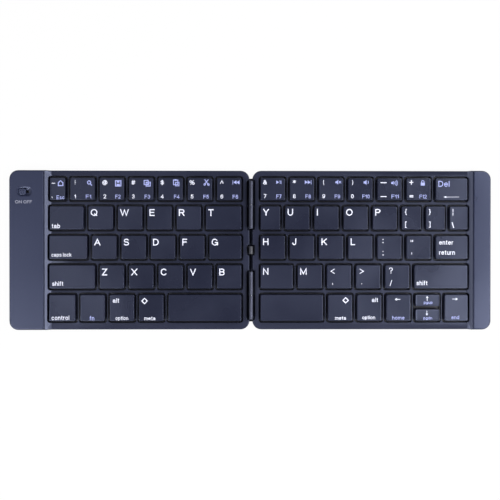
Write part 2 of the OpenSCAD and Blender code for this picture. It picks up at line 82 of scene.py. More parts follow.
def linked(name: str, data: bpy.types.ID) -> bpy.types.Object:
    """Makes an object of a mesh, lamp or camera and links it to the scene."""
    made = bpy.data.objects.new(name, data)
    bpy.context.scene.collection.objects.link(made)
    return made


def level(path: Line, z: float) -> Line:
    """Lifts a flat path to a height."""
    return [Vector((p.x, p.y, z)) for p in path]


def corner(points: list[Vector], pick: Callable[..., float]) -> Vector:
    """Gives the lowest corner of the points' box with min, and the highest with max."""
    return Vector([pick(p[i] for p in points) for i in range(3)])


@dataclass
class Shape:
    """Points and faces gathered for one mesh, with a material number for each face."""

    points: list[Vector] = field(default_factory=list)
    faces: list[list[int]] = field(default_factory=list)
    tints: list[int] = field(default_factory=list)

    def add(self, points: list[Vector], faces: list[list[int]], tint: int = 0) -> None:
        """Adds points and the faces between them.

        Args:
            points: The new points.
            faces: Faces, as numbers that count from the first new point.
            tint: The material number of these faces.
        """
        first = len(self.points)
        self.points.extend(points)
        self.faces.extend([first + i for i in face] for face in faces)
        self.tints.extend([tint] * len(faces))

    def stack(self, rings: list[Line], tint: int = 0, looped: bool = False) -> None:
        """Joins rings of equal length into one closed skin.

        Args:
            rings: The rings, each anticlockwise as seen from above where the skin climbs outside.
            tint: The material number of the skin.
            looped: Joins the last ring to the first. Otherwise a flat face closes either end.
        """
        n, last = len(rings[0]), len(rings) - 1
        faces = [] if looped else [list(reversed(range(n))), [last * n + i for i in range(n)]]
        for k in range(len(rings) if looped else last):
            low, high = k * n, (k + 1) % len(rings) * n
            faces += [[low + i, low + (i + 1) % n, high + (i + 1) % n, high + i] for i in range(n)]
        self.add([p for ring in rings for p in ring], faces, tint)

    def piece(self, name: str, materials: list[bpy.types.Material],
              crease: float = 40.0) -> bpy.types.Object:
        """Makes the mesh object, in metres.

        Args:
            name: The object's name.
            materials: The materials that the faces' numbers stand for.
            crease: The angle in degrees above which an edge stays sharp.

        Returns:
            The object, linked to the scene.
        """
        mesh = bpy.data.meshes.new(name)
        mesh.from_pydata([p * MM for p in self.points], [], self.faces)
        for material in materials:
            mesh.materials.append(material)
        mesh.polygons.foreach_set("material_index", self.tints)
        mesh.polygons.foreach_set("use_smooth", [True] * len(self.faces))
        mesh.set_sharp_from_angle(angle=math.radians(crease))
        return linked(name, mesh)


@dataclass
class Solid:
    """One separate solid of a CAD node, at rest, in millimetres."""

    points: list[Vector]
    faces: list[list[int]]

    @property
    def low(self) -> Vector:
        """The lowest corner of the solid's box."""
        return corner(self.points, min)

    @property
    def high(self) -> Vector:
        """The highest corner of the solid's box."""
        return corner(self.points, max)


def welded(node: str) -> bmesh.types.BMesh:
    """Copies a CAD node's mesh in millimetres, with the points that lie together joined.

    Args:
        node: The CAD node's name.

    Returns:
        The copy, which the caller frees.
    """
    copy = bmesh.new()
    copy.from_mesh(frame["nodes"][node].data)
    bmesh.ops.scale(copy, vec=Vector((1, 1, 1)) / MM, verts=copy.verts)
    bmesh.ops.remove_doubles(copy, verts=copy.verts, dist=WELD)
    return copy


def solids(node: str) -> list[Solid]:
    """Splits a CAD node into its separate solids, from left to right.

    Args:
        node: The CAD node's name.

    Returns:
        The solids, sorted by the left side of their boxes.
    """
    copy = welded(node)
    left_over, found = set(copy.verts), []
    while left_over:
        reached = [left_over.pop()]
        for vertex in reached:
            for edge in vertex.link_edges:
                other = edge.other_vert(vertex)
                if other in left_over:
                    left_over.remove(other)
                    reached.append(other)
        number = {vertex: i for i, vertex in enumerate(reached)}
        faces = {face for vertex in reached for face in vertex.link_faces}
        ordered = sorted(faces, key=lambda face: face.index)
        points = [vertex.co.copy() for vertex in reached]
        found.append(Solid(points, [[number[vertex] for vertex in face.verts] for face in ordered]))
    copy.free()
    return sorted(found, key=lambda solid: solid.low.x)


# ---- Shader trees and the effects that several finishes share ----


class Tree:
    """Adds and joins the nodes of one shader tree."""

    def __init__(self, tree: bpy.types.NodeTree) -> None:
        """Takes the tree to work on."""
        self.tree = tree

    def add(self, kind: str, inputs: dict | None = None, **settings: object) -> bpy.types.Node:
        """Adds a node.

        Args:
            kind: The node's Blender type.
            inputs: Values or output sockets for its inputs, by name or number.
            **settings: The node's own settings.

        Returns:
            The node.
        """
        node = self.tree.nodes.new(kind)
        for name, value in settings.items():
            setattr(node, name, value)
        for name, value in (inputs or {}).items():
            if isinstance(value, bpy.types.NodeSocket):
                self.tree.links.new(value, node.inputs[name])
            else:
                node.inputs[name].default_value = value
        return node

    def math(self, operation: str, *values: object, clamp: bool = False) -> bpy.types.NodeSocket:
        """Adds a Math node with these values or sockets and returns its output."""
        inputs = dict(enumerate(values))
        return self.add("ShaderNodeMath", inputs, operation=operation, use_clamp=clamp).outputs[0]

    def remap(self, value: bpy.types.NodeSocket, low: float, high: float,
              to_low: float = 0.0, to_high: float = 1.0) -> bpy.types.NodeSocket:
        """Adds a clamped Map Range node and returns its output.

        Args:
            value: The socket to map.
            low: The value that becomes to_low.
            high: The value that becomes to_high.
            to_low: The first result.
            to_high: The last result.

        Returns:
            The mapped value.
        """
        inputs = {"Value": value, "From Min": low, "From Max": high, "To Min": to_low, "To Max": to_high}
        return self.add("ShaderNodeMapRange", inputs).outputs["Result"]

    def mix(self, share: object, first: object, second: object) -> bpy.types.NodeSocket:
        """Mixes two colours by a share, each a value or a socket, and returns the result."""
        shown = [c if isinstance(c, bpy.types.NodeSocket) else (*c, 1.0) for c in (first, second)]
        node = self.add("ShaderNodeMix", {0: share, 6: shown[0], 7: shown[1]}, data_type="RGBA")
        return node.outputs[2]

    def place(self, output: str = "Object") -> bpy.types.NodeSocket:
        """Returns a coordinate of the surface that moves with the piece."""
        return self.add("ShaderNodeTexCoord").outputs[output]

    def noise(self, size: float | bpy.types.NodeSocket, detail: float = 2.0) -> bpy.types.NodeSocket:
        """Adds noise and returns its value.

        Args:
            size: The size of a blotch in metres, a value or a socket.
            detail: How many finer layers it has.

        Returns:
            The noise, from 0 to 1.
        """
        scale = 1 / size if isinstance(size, float) else self.math("DIVIDE", 1.0, size)
        inputs = {"Vector": self.place(), "Scale": scale, "Detail": detail}
        return self.add("ShaderNodeTexNoise", inputs).outputs[0]

    def effect(self, group: bpy.types.NodeTree, **inputs: object) -> bpy.types.Node:
        """Places a shared effect with its own values.

        Args:
            group: The node group.
            **inputs: Values for its named inputs.

        Returns:
            The group's node.
        """
        return self.add("ShaderNodeGroup", inputs, node_tree=group)


class Effects:
    """Shader node groups that several finishes share. Lengths going in are in metres."""

    def __init__(self) -> None:
        """Builds each group once."""
        self.grain = self.build_grain()
        self.patches = self.build_patches()
        self.edge_wear = self.build_edge_wear()
        self.dust = self.build_dust()
        self.crevice = self.build_crevice()

    @staticmethod
    def start(name: str, inputs: dict[str, float],
              output: str) -> tuple[Tree, bpy.types.Node, bpy.types.Node]:
        """Makes an empty group with its sockets.

        Args:
            name: The group's name.
            inputs: Its inputs with their first values.
            output: Its one output.

        Returns:
            The tree, the node that gives the inputs, and the node that takes the output.
        """
        group = bpy.data.node_groups.new(name, "ShaderNodeTree")
        kind = "NodeSocketFloat"
        for label, value in inputs.items():
            socket = group.interface.new_socket(name=label, in_out="INPUT", socket_type=kind)
            socket.default_value = value
        group.interface.new_socket(name=output, in_out="OUTPUT", socket_type=kind)
        tree = Tree(group)
        return tree, tree.add("NodeGroupInput"), tree.add("NodeGroupOutput")

    def build_grain(self) -> bpy.types.NodeTree:
        """Fine grain, drawn out into brush lines along Y where Stretch is above 1."""
        tree, given, result = self.start("grain", {"Size": 0.0003, "Stretch": 1.0}, "Height")
        along = tree.math("DIVIDE", 1.0, given.outputs["Stretch"])
        drawn = tree.add("ShaderNodeCombineXYZ", {"X": 1.0, "Y": along, "Z": 1.0}).outputs[0]
        point = tree.add("ShaderNodeVectorMath", {0: tree.place(), 1: drawn},
                         operation="MULTIPLY").outputs[0]
        scale = tree.math("DIVIDE", 1.0, given.outputs["Size"])
        inputs = {"Vector": point, "Scale": scale, "Detail": 4.0, "Roughness": 0.6}
        noise = tree.add("ShaderNodeTexNoise", inputs)
        tree.tree.links.new(noise.outputs[0], result.inputs["Height"])
        return tree.tree

    def build_patches(self) -> bpy.types.NodeTree:
        """Soft patches, where the moulding cooled or hands have rubbed."""
        tree, given, result = self.start("patches", {"Size": 0.02}, "Mask")
        broad = tree.noise(given.outputs["Size"], 3.0)
        tree.tree.links.new(tree.remap(broad, 0.3, 0.7), result.inputs["Mask"])
        return tree.tree

    def build_edge_wear(self) -> bpy.types.NodeTree:
        """Edges where the surface turns within Radius, broken up by noise."""
        tree, given, result = self.start("edge_wear", {"Radius": 0.0003, "Size": 0.002}, "Mask")
        eased = tree.add("ShaderNodeBevel", {"Radius": given.outputs["Radius"]}, samples=4).outputs[0]
        true = tree.add("ShaderNodeNewGeometry").outputs["Normal"]
        likeness = tree.add("ShaderNodeVectorMath", {0: eased, 1: true}, operation="DOT_PRODUCT")
        turned = tree.remap(likeness.outputs["Value"], 0.995, 0.93)
        broken = tree.remap(tree.noise(given.outputs["Size"], 3.0), 0.35, 0.65)
        tree.tree.links.new(tree.math("MULTIPLY", turned, broken), result.inputs["Mask"])
        return tree.tree

    def build_dust(self) -> bpy.types.NodeTree:
        """Specks that have settled on whatever faces up when the keyboard lies open."""
        tree, given, result = self.start("dust", {"Amount": 0.1, "Size": 0.0008}, "Mask")
        specks = tree.remap(tree.noise(given.outputs["Size"], 5.0), 0.62, 0.74)
        up = tree.add("ShaderNodeSeparateXYZ", {0: tree.place("Normal")}).outputs["Z"]
        lying = tree.math("MULTIPLY", specks, tree.remap(up, 0.6, 0.95))
        tree.tree.links.new(tree.math("MULTIPLY", lying, given.outputs["Amount"]), result.inputs["Mask"])
        return tree.tree

    def build_crevice(self) -> bpy.types.NodeTree:
        """A mask for painted shade: places that lie in the shade of what stands within Reach, such as the strips
        between the caps.
        """
        tree, given, result = self.start("crevice", {"Reach": 0.004}, "Mask")
        open_sky = tree.add("ShaderNodeAmbientOcclusion", {"Distance": given.outputs["Reach"]}, samples=6)
        tree.tree.links.new(tree.remap(open_sky.outputs["AO"], 0.95, 0.55), result.inputs["Mask"])
        return tree.tree


# ---- Finishes. Lengths are in millimetres, colours are linear ----

DUST_COLOUR = (0.3, 0.3, 0.32)
BLACK = (0.0, 0.0, 0.0)
RUBBED_GAIN, RUBBED_LIFT = 1.8, 0.04  # how a colour lightens where it has been rubbed
RUBBED_POLISH, DUST_ROUGHNESS = 0.3, 0.5  # how much smoother rubbed edges are, and how much rougher dust is


@dataclass(frozen=True)
class Finish:
    """A surface with a grain, soft patches, worn edges and a little dust.

    Attributes:
        colour: The colour of clean material.
        roughness: Its mean roughness.
        metallic: 1 for bare metal.
        specular: The specular level of the shader.
        sheen_tint: The colour of its reflections, for a coating that tints them.
        grain: The size of the grain.
        relief: The depth of the grain.
        stretch: How many times longer than wide the grain is, along Y.
        patch: The size of the soft patches.
        mottle: How far the patches differ in brightness.
        polish: How far the patches differ in roughness.
        edge: The width of the worn edges.
        wear: How much worn edges lighten.
        dust: How much of the dust's colour shows in a speck.
        shade: How much the colour darkens between parts that stand close together.
        glow: The share of light that scatters below the surface.
    """

    colour: Colour
    roughness: float
    metallic: float = 0.0
    specular: float = 0.5
    sheen_tint: Colour = (1.0, 1.0, 1.0)
    grain: float = 0.25
    relief: float = 0.004
    stretch: float = 1.0
    patch: float = 24.0
    mottle: float = 0.08
    polish: float = 0.08
    edge: float = 0.25
    wear: float = 0.2
    dust: float = 0.04
    # shade: How much painted shade darkens the colour between parts that stand close together.
    shade: float = 0.0
    glow: float = 0.0

    def pattern(self, tree: Tree) -> bpy.types.NodeSocket | Colour:
        """Gives the clean colour, which a patterned finish varies over the surface."""
        return self.colour

    def height(self, tree: Tree, effects: Effects) -> bpy.types.NodeSocket:
        """Gives the relief's height, from 0 to 1."""
        return tree.effect(effects.grain, Size=self.grain * MM, Stretch=self.stretch).outputs["Height"]

    def material(self, name: str, effects: Effects) -> bpy.types.Material:
        """Builds the material.

        Args:
            name: The material's name.
            effects: The shared node groups.

        Returns:
            The material.
        """
        material = bpy.data.materials.new(name)
        material.use_nodes = True
        tree = Tree(material.node_tree)
        shader = material.node_tree.nodes["Principled BSDF"]
        shader.inputs["Metallic"].default_value = self.metallic
        shader.inputs["Specular IOR Level"].default_value = self.specular
        shader.inputs["Specular Tint"].default_value = (*self.sheen_tint, 1.0)
        shader.inputs["Subsurface Weight"].default_value = self.glow
        shader.inputs["Subsurface Scale"].default_value = MM

        patches = tree.effect(effects.patches, Size=self.patch * MM).outputs["Mask"]
        worn = tree.effect(effects.edge_wear, Radius=self.edge * MM).outputs["Mask"]
        dust = tree.effect(effects.dust, Amount=self.dust).outputs["Mask"]

        clean = self.pattern(tree)
        shade = tree.remap(patches, 0.0, 1.0, 1.0 - self.mottle, 1.0 + self.mottle)
        colour = clean if isinstance(clean, bpy.types.NodeSocket) else (*clean, 1.0)
        mottled = tree.add("ShaderNodeHueSaturation", {"Value": shade, "Color": colour}).outputs[0]
        bare = tuple(min(1.0, RUBBED_GAIN * c + RUBBED_LIFT) for c in self.colour)
        rubbed = tree.mix(tree.math("MULTIPLY", worn, self.wear), mottled, bare)
        dust_and_shade = tree.mix(dust, rubbed, DUST_COLOUR)
        # Painted shade: where parts stand close together, as in the strips between the caps, the colour is
        # darkened towards black.
        if self.shade:
            shade_mask = tree.effect(effects.crevice).outputs["Mask"]
            dust_and_shade = tree.mix(tree.math("MULTIPLY", shade_mask, self.shade), dust_and_shade, BLACK)
        tree.tree.links.new(dust_and_shade, shader.inputs["Base Color"])

        base = tree.remap(patches, 0.0, 1.0, self.roughness - self.polish, self.roughness + self.polish)
        smoothed = tree.math("SUBTRACT", base, tree.math("MULTIPLY", worn, RUBBED_POLISH * self.wear))
        roughened = tree.math("ADD", smoothed, tree.math("MULTIPLY", dust, DUST_ROUGHNESS), clamp=True)
        tree.tree.links.new(roughened, shader.inputs["Roughness"])
        relief = {"Height": self.height(tree, effects), "Distance": self.relief * MM}
        tree.tree.links.new(tree.add("ShaderNodeBump", relief).outputs[0], shader.inputs["Normal"])
        return material


@dataclass(frozen=True)
class Traced(Finish):
    """A film or board with conductor lines.

    Attributes:
        trace: The lines' colour.
        pitch: The distance from line to line.
        share: The lines' width as a share of the pitch.
        across: The axis that the lines follow each other along.
    """

    trace: Colour = (0.6, 0.6, 0.62)
    pitch: float = 0.5
    share: float = 0.5
    across: str = "Y"

    def pattern(self, tree: Tree) -> bpy.types.NodeSocket:
        """Draws the lines."""
        along = tree.add("ShaderNodeSeparateXYZ", {0: tree.place()}).outputs[self.across]
        step = tree.math("FRACT", tree.math("DIVIDE", along, self.pitch * MM))
        beside = tree.remap(step, self.share - 0.06, self.share + 0.06)
        return tree.mix(beside, self.trace, self.colour)


@dataclass(frozen=True)
class Spangled(Finish):
    """A zinc or nickel skin that shows its crystals.

    Attributes:
        spangle: The size of a crystal.
        contrast: How far the crystals differ in brightness.
    """

    spangle: float = 3.0
    contrast: float = 0.25

    def pattern(self, tree: Tree) -> bpy.types.NodeSocket:
        """Gives each crystal its own shade."""
        inputs = {"Vector": tree.place(), "Scale": 1 / (self.spangle * MM)}
        cells = tree.add("ShaderNodeTexVoronoi", inputs)
        shade = tree.add("ShaderNodeSeparateColor", {0: cells.outputs["Color"]}).outputs[0]
        dull = tuple(c * (1 - self.contrast) for c in self.colour)
        return tree.mix(shade, dull, self.colour)


@dataclass(frozen=True)
class Printed(Finish):
    """A printed ink that lets some of the plastic show through its pinholes.

    Attributes:
        under: The colour of the plastic under the ink.
        pinhole: The size of a pinhole.
    """

    under: Colour = (0.02, 0.02, 0.03)
    pinhole: float = 0.12

    def pattern(self, tree: Tree) -> bpy.types.NodeSocket:
        """Sets the pinholes into the ink."""
        holes = tree.remap(tree.noise(self.pinhole * MM), 0.7, 0.8)
        return tree.mix(holes, self.colour, self.under)


SHELL_COLOUR = (0.0145, 0.018, 0.043)
FRAME_COLOUR = (0.0135, 0.0152, 0.032)
CAP_COLOUR = (0.010, 0.0117, 0.026)
BLUISH = (0.64, 0.71, 1.0)
FINISHES: dict[str, Finish] = {
    "shell_plastic": Finish(SHELL_COLOUR, 0.33, specular=0.6, sheen_tint=BLUISH, grain=0.22,
                            relief=0.006, patch=60.0, mottle=0.05, wear=0.06),
    # The frame's shade value paints shade into its colour between the caps.
    "frame_plastic": Finish(FRAME_COLOUR, 0.35, specular=0.52, sheen_tint=BLUISH, grain=0.22,
                            relief=0.006, patch=60.0, mottle=0.05, wear=0.05, shade=0.9),
    "base_metal": Finish((0.03, 0.034, 0.055), 0.48, 1.0, grain=0.16, relief=0.008, patch=70.0, wear=0.3),
    "keycap_plastic": Finish(CAP_COLOUR, 0.30, specular=0.65, sheen_tint=BLUISH, grain=0.2,
                             relief=0.004, patch=45.0, mottle=0.06, wear=0.04),
    "hinge_steel": Finish((0.056, 0.06, 0.085), 0.36, 1.0, grain=0.05, relief=0.003, stretch=60.0,
                          wear=0.3),
    "pin_steel": Finish((0.5, 0.5, 0.52), 0.22, 1.0, grain=0.04, relief=0.001, stretch=30.0),
    "spring_wire": Finish((0.52, 0.52, 0.53), 0.28, 1.0, grain=0.05, relief=0.001),
    "plate_steel": Finish((0.03, 0.032, 0.055), 0.45, grain=0.1, relief=0.003, wear=0.1),
    "membrane_film": Traced((0.02, 0.022, 0.04), 0.4, trace=(0.05, 0.052, 0.07), pitch=1.6, share=0.3),
    "dome_silicone": Finish((0.66, 0.67, 0.69), 0.45, relief=0.002, glow=0.3, wear=0.0),
    "scissor_plastic": Finish((0.02, 0.021, 0.035), 0.42, relief=0.002, wear=0.05),
    "magnet_nickel": Spangled((0.6, 0.58, 0.55), 0.2, 1.0, relief=0.001, spangle=0.8, contrast=0.1),
    "foot_rubber": Finish((0.016, 0.016, 0.017), 0.82, grain=0.35, relief=0.03, mottle=0.2, patch=3.0,
                          wear=0.1),
    "screw_steel": Finish((0.05, 0.05, 0.054), 0.34, 1.0, grain=0.08, relief=0.002, wear=1.0, edge=0.12),
    "flex_ribbon": Traced((0.02, 0.021, 0.03), 0.4, trace=(0.04, 0.042, 0.055), relief=0.002, pitch=0.42),
    "board_laminate": Traced((0.012, 0.09, 0.045), 0.3, trace=(0.02, 0.16, 0.08), pitch=0.9, share=0.4,
                             across="X"),
    "battery_foil": Finish((0.6, 0.6, 0.61), 0.3, 1.0, grain=3.5, relief=0.15, mottle=0.1, patch=6.0),
    "port_shell": Finish((0.5, 0.49, 0.47), 0.28, 1.0, grain=0.06, relief=0.001, wear=0.3),
    "switch_plastic": Finish((0.02, 0.02, 0.022), 0.3, relief=0.002),
    "knob_plastic": Finish((0.024, 0.029, 0.062), 0.34, specular=0.65, sheen_tint=BLUISH, grain=0.15,
                           relief=0.004, wear=0.1),
}
# A lighter copy of the frame plastic for its sloping sides beside the bars: painted light that stands in for the
# light those sides catch.
LIT_SLOPE = Finish((0.056, 0.062, 0.098), 0.34, specular=0.68, sheen_tint=BLUISH, grain=0.18, relief=0.003,
               patch=60.0, wear=0.0)
WHITE_INK = Printed((0.78, 0.80, 0.93), 0.5, grain=0.1, relief=0.002, mottle=0.03, wear=0.0,
                    under=CAP_COLOUR)
BLUE_INK = Printed((0.35, 0.39, 0.74), 0.5, grain=0.1, relief=0.002, mottle=0.05, wear=0.0,
                   under=CAP_COLOUR)
GREY_INK = Printed((0.34, 0.35, 0.44), 0.5, grain=0.1, relief=0.002, wear=0.0, under=SHELL_COLOUR)


class Palette:
    """Every material of the keyboard, each built once."""

    def __init__(self) -> None:
        """Builds the shared effects and the materials."""
        effects = Effects()
        self.slots = {slot: finish.material(slot, effects) for slot, finish in FINISHES.items()}
        # The sloping sides' lighter copy of the frame plastic is painted light.
        self.slope = LIT_SLOPE.material("slope_plastic", effects)
        self.white = WHITE_INK.material("white_ink", effects)
        self.blue = BLUE_INK.material("blue_ink", effects)
        self.grey = GREY_INK.material("grey_ink", effects)

    def dress_nodes(self) -> int:
        """Gives every CAD node its slot's material.

        Returns:
            The number of nodes.
        """
        subparts = frame["record"]["subparts"]
        for part in subparts:
            for slot in frame["nodes"][part["node"]].material_slots:
                slot.material = self.slots[part["material_slot"]]
        return len(subparts)


# ---- Print: letters, icons and where they stand on a cap ----


class Icon(Enum):
    """The pictures on the caps, and strokes that aren't letters."""

    HOME = auto()
    SEARCH = auto()
    SAVE = auto()
    COPY = auto()
    PASTE = auto()
    CUT = auto()
    BACK = auto()
    PLAY = auto()
    NEXT = auto()
    MUTE = auto()
    QUIETER = auto()
    LOUDER = auto()
    LOCK = auto()
    DASH = auto()
    DIAMOND = auto()
    ARROW_LEFT = auto()
    ARROW_DOWN = auto()
    ARROW_RIGHT = auto()
    ARROW_UP = auto()
    ERASE = auto()


class Ink(Enum):
    """The inks on the caps, as material numbers of a cap's mesh."""

    WHITE = 1
    BLUE = 2


def line(*points: tuple[float, float]) -> Line:
    """Turns pairs of numbers into flat points."""
    return [Vector(p) for p in points]


def arc(x: float, y: float, radius: float, start: float, end: float, steps: int = 12,
        tall: float | None = None) -> Line:
    """Gives points along an arc.

    Args:
        x: The centre's x.
        y: The centre's y.
        radius: The radius.
        start: The first angle in degrees.
        end: The last angle in degrees.
        steps: The number of points.
        tall: The radius along y, where it is another one.

    Returns:
        The points. The last angle is left out of a full circle.
    """
    turns = steps if abs(end - start) >= 360 else steps - 1
    angles = [math.radians(start + (end - start) * i / turns) for i in range(steps)]
    return [Vector((x + radius * math.cos(a), y + (tall or radius) * math.sin(a))) for a in angles]


def offset(path: Line, by: float, closed: bool) -> Line:
    """Moves a path to its left.

    Args:
        path: The path's points.
        by: How far.
        closed: True where the last point runs on to the first.

    Returns:
        The moved points.
    """
    moved, n = [], len(path)
    for i, point in enumerate(path):
        before = path[i - 1] if closed or i else None
        after = path[(i + 1) % n] if closed or i < n - 1 else None
        ways = [(point - before).normalized()] if before is not None else []
        ways += [(after - point).normalized()] if after is not None else []
        way = sum(ways, Vector((0, 0))).normalized()
        normal = Vector((-way.y, way.x))
        lean = max(0.45, normal.dot(Vector((-ways[0].y, ways[0].x))))
        moved.append(point + normal * by / lean)
    return moved


def stroke(path: Line, width: float, closed: bool = False) -> list[Line]:
    """Draws a line of some width: one outline if it is open, an outer and an inner one if it is closed."""
    right, left = offset(path, -width / 2, closed), offset(path, width / 2, closed)
    return [right, left] if closed else [right + left[::-1]]


def frame_line(x0: float, y0: float, x1: float, y1: float) -> Line:
    """Gives the corners of a box, anticlockwise."""
    return line((x0, y0), (x1, y0), (x1, y1), (x0, y1))


def speaker() -> list[list[Line]]:
    """Draws a loudspeaker seen from the side."""
    return [[line((0, 0.32), (0.22, 0.32), (0.5, 0.08), (0.5, 0.92), (0.22, 0.68), (0, 0.68))]]


def arrow(length: float, head: float = 0.5) -> Line:
    """Gives the outline of an arrow that points left and is 1 high."""
    return line((0, 0.5), (head, 0), (head, 0.4), (length, 0.4), (length, 0.6), (head, 0.6), (head, 1))


def turned(outline: Line, quarter_turns: int) -> Line:
    """Turns an outline by quarter turns about the middle of a unit square."""
    middle = Vector((0.5, 0.5))
    cos, sin = math.cos(math.pi / 2 * quarter_turns), math.sin(math.pi / 2 * quarter_turns)
    spokes = [p - middle for p in outline]
    return [middle + Vector((cos * p.x - sin * p.y, sin * p.x + cos * p.y)) for p in spokes]


def shifted(outline: Line, by: float) -> list[Line]:
    """Gives a filled stroke: an outline moved to the right."""
    return [[p + Vector((by, 0)) for p in outline]]


THIN, BOLD = 0.12, 0.16
DASH_LENGTH = 6.8
ARROW_TURNS = {Icon.ARROW_LEFT: 0, Icon.ARROW_DOWN: 1, Icon.ARROW_RIGHT: 2, Icon.ARROW_UP: 3}


def draw_icon(icon: Icon) -> list[list[Line]]:
    """Draws an icon 1 high.

    Args:
        icon: The icon.

    Returns:
        Its strokes, each an outline and, where it has a hole, the hole's outline.
    """
    bar = frame_line(0, 0, 0.14, 1)
    left_wedge = line((0, 0.5), (0.75, 0), (0.75, 1))
    right_wedge = line((0, 0), (0.75, 0.5), (0, 1))
    match icon:
        case Icon.HOME:
            return [stroke(line((0.1, 0.05), (0.9, 0.05), (0.9, 0.55), (0.5, 0.92), (0.1, 0.55)), BOLD, True)]
        case Icon.SEARCH:
            return [stroke(arc(0.4, 0.62, 0.28, 0, 360, 20), BOLD, True),
                    stroke(line((0.6, 0.42), (0.92, 0.06)), BOLD)]
        case Icon.SAVE:
            return [stroke(frame_line(0.06, 0.06, 0.94, 0.94), BOLD, True),
                    [frame_line(0.3, 0.62, 0.7, 0.9)], [frame_line(0.24, 0.1, 0.76, 0.42)]]
        case Icon.COPY:
            return [stroke(frame_line(0.06, 0.3, 0.68, 0.94), THIN, True),
                    stroke(frame_line(0.36, 0.06, 1.0, 0.66), THIN, True),
                    [frame_line(0.5, 0.2, 0.86, 0.28)], [frame_line(0.5, 0.4, 0.86, 0.48)]]
        case Icon.PASTE:
            return [stroke(frame_line(0.1, 0.2, 0.8, 0.94), THIN, True), [frame_line(0.3, 0.82, 0.6, 1.04)],
                    stroke(frame_line(0.44, 0.0, 1.0, 0.56), THIN, True)]
        case Icon.CUT:
            handles = [stroke(arc(x, 0.18, 0.13, 0, 360, 14), THIN, True) for x in (0.2, 0.8)]
            return handles + [stroke(line((0.28, 0.3), (0.8, 1.0)), THIN),
                              stroke(line((0.72, 0.3), (0.2, 1.0)), THIN)]
        case Icon.BACK:
            return [[bar], shifted(left_wedge, 0.2), shifted(left_wedge, 0.95)]
        case Icon.PLAY:
            return [shifted(right_wedge, 0), shifted(bar, 0.95), shifted(bar, 1.25)]
        case Icon.NEXT:
            return [shifted(right_wedge, 0), shifted(right_wedge, 0.75), shifted(bar, 1.55)]
        case Icon.MUTE:
            return speaker() + [stroke(line((0.66, 0.3), (1.0, 0.7)), THIN),
                                stroke(line((0.66, 0.7), (1.0, 0.3)), THIN)]
        case Icon.QUIETER:
            return speaker() + [stroke(arc(0.4, 0.5, 0.4, -38, 38, 8), THIN)]
        case Icon.LOUDER:
            return speaker() + [stroke(arc(0.4, 0.5, r, -42, 42, 10), THIN) for r in (0.36, 0.62, 0.88)]
        case Icon.LOCK:
            shackle = line((0.27, 0.5)) + arc(0.5, 0.7, 0.23, 180, 0, 10) + line((0.73, 0.5))
            return [[frame_line(0.12, 0.0, 0.88, 0.56)], stroke(shackle, THIN)]
        case Icon.DASH:
            return [[frame_line(0, 0, DASH_LENGTH, 1)]]
        case Icon.DIAMOND:
            return [stroke(line((0.5, 0.04), (0.96, 0.5), (0.5, 0.96), (0.04, 0.5)), BOLD, True)]
        case Icon.ERASE:
            return [[arrow(7.4, 1.3)]]
        case _:
            return [[turned(arrow(1.9, 0.75), ARROW_TURNS[icon])]]


@dataclass(frozen=True)
class Mark:
    """One print on a cap, placed in millimetres from the cap's left and back edges.

    Attributes:
        what: The word or the icon.
        left: From the cap's left edge to the print's left edge.
        top: From the cap's back edge to the top of a capital, or of the icon.
        height: The height of a capital, or of the icon.
        width: The width of the whole print, or 0 for its natural width.
        ink: The ink.
    """

    what: str | Icon
    left: float
    top: float
    height: float
    width: float = 0.0
    ink: Ink = Ink.WHITE


LONG_BOW_STEPS, SHORT_BOW_STEPS = 22, 11


def bow(x: float, y: float, wide: float, tall: float, start: float, end: float) -> Line:
    """Gives an arc with two radii, or a ring from 0 to 360 degrees, whose last point is its first."""
    turn = abs(end - start)
    path = arc(x, y, wide, start, end, LONG_BOW_STEPS if turn > 200 else SHORT_BOW_STEPS, tall)
    return path + path[:1] if turn >= 360 else path


def ring(x: float, y: float, wide: float, tall: float) -> Line:
    """Gives a closed ring."""
    return bow(x, y, wide, tall, 0, 360)


@dataclass(frozen=True)
class Glyph:
    """A character drawn with a pen.

    Attributes:
        width: Its width with the pen's, where a capital is 1 high.
        strokes: The pen's ways, in a square that reaches from a capital's foot to its top.
    """

    width: float
    strokes: tuple[Line, ...]


def glyph(width: float, *strokes: Line | tuple) -> Glyph:
    """Draws a character from its strokes, each a line or the pairs of numbers that it runs through."""
    return Glyph(width, tuple(line(*s) if isinstance(s, tuple) else s for s in strokes))


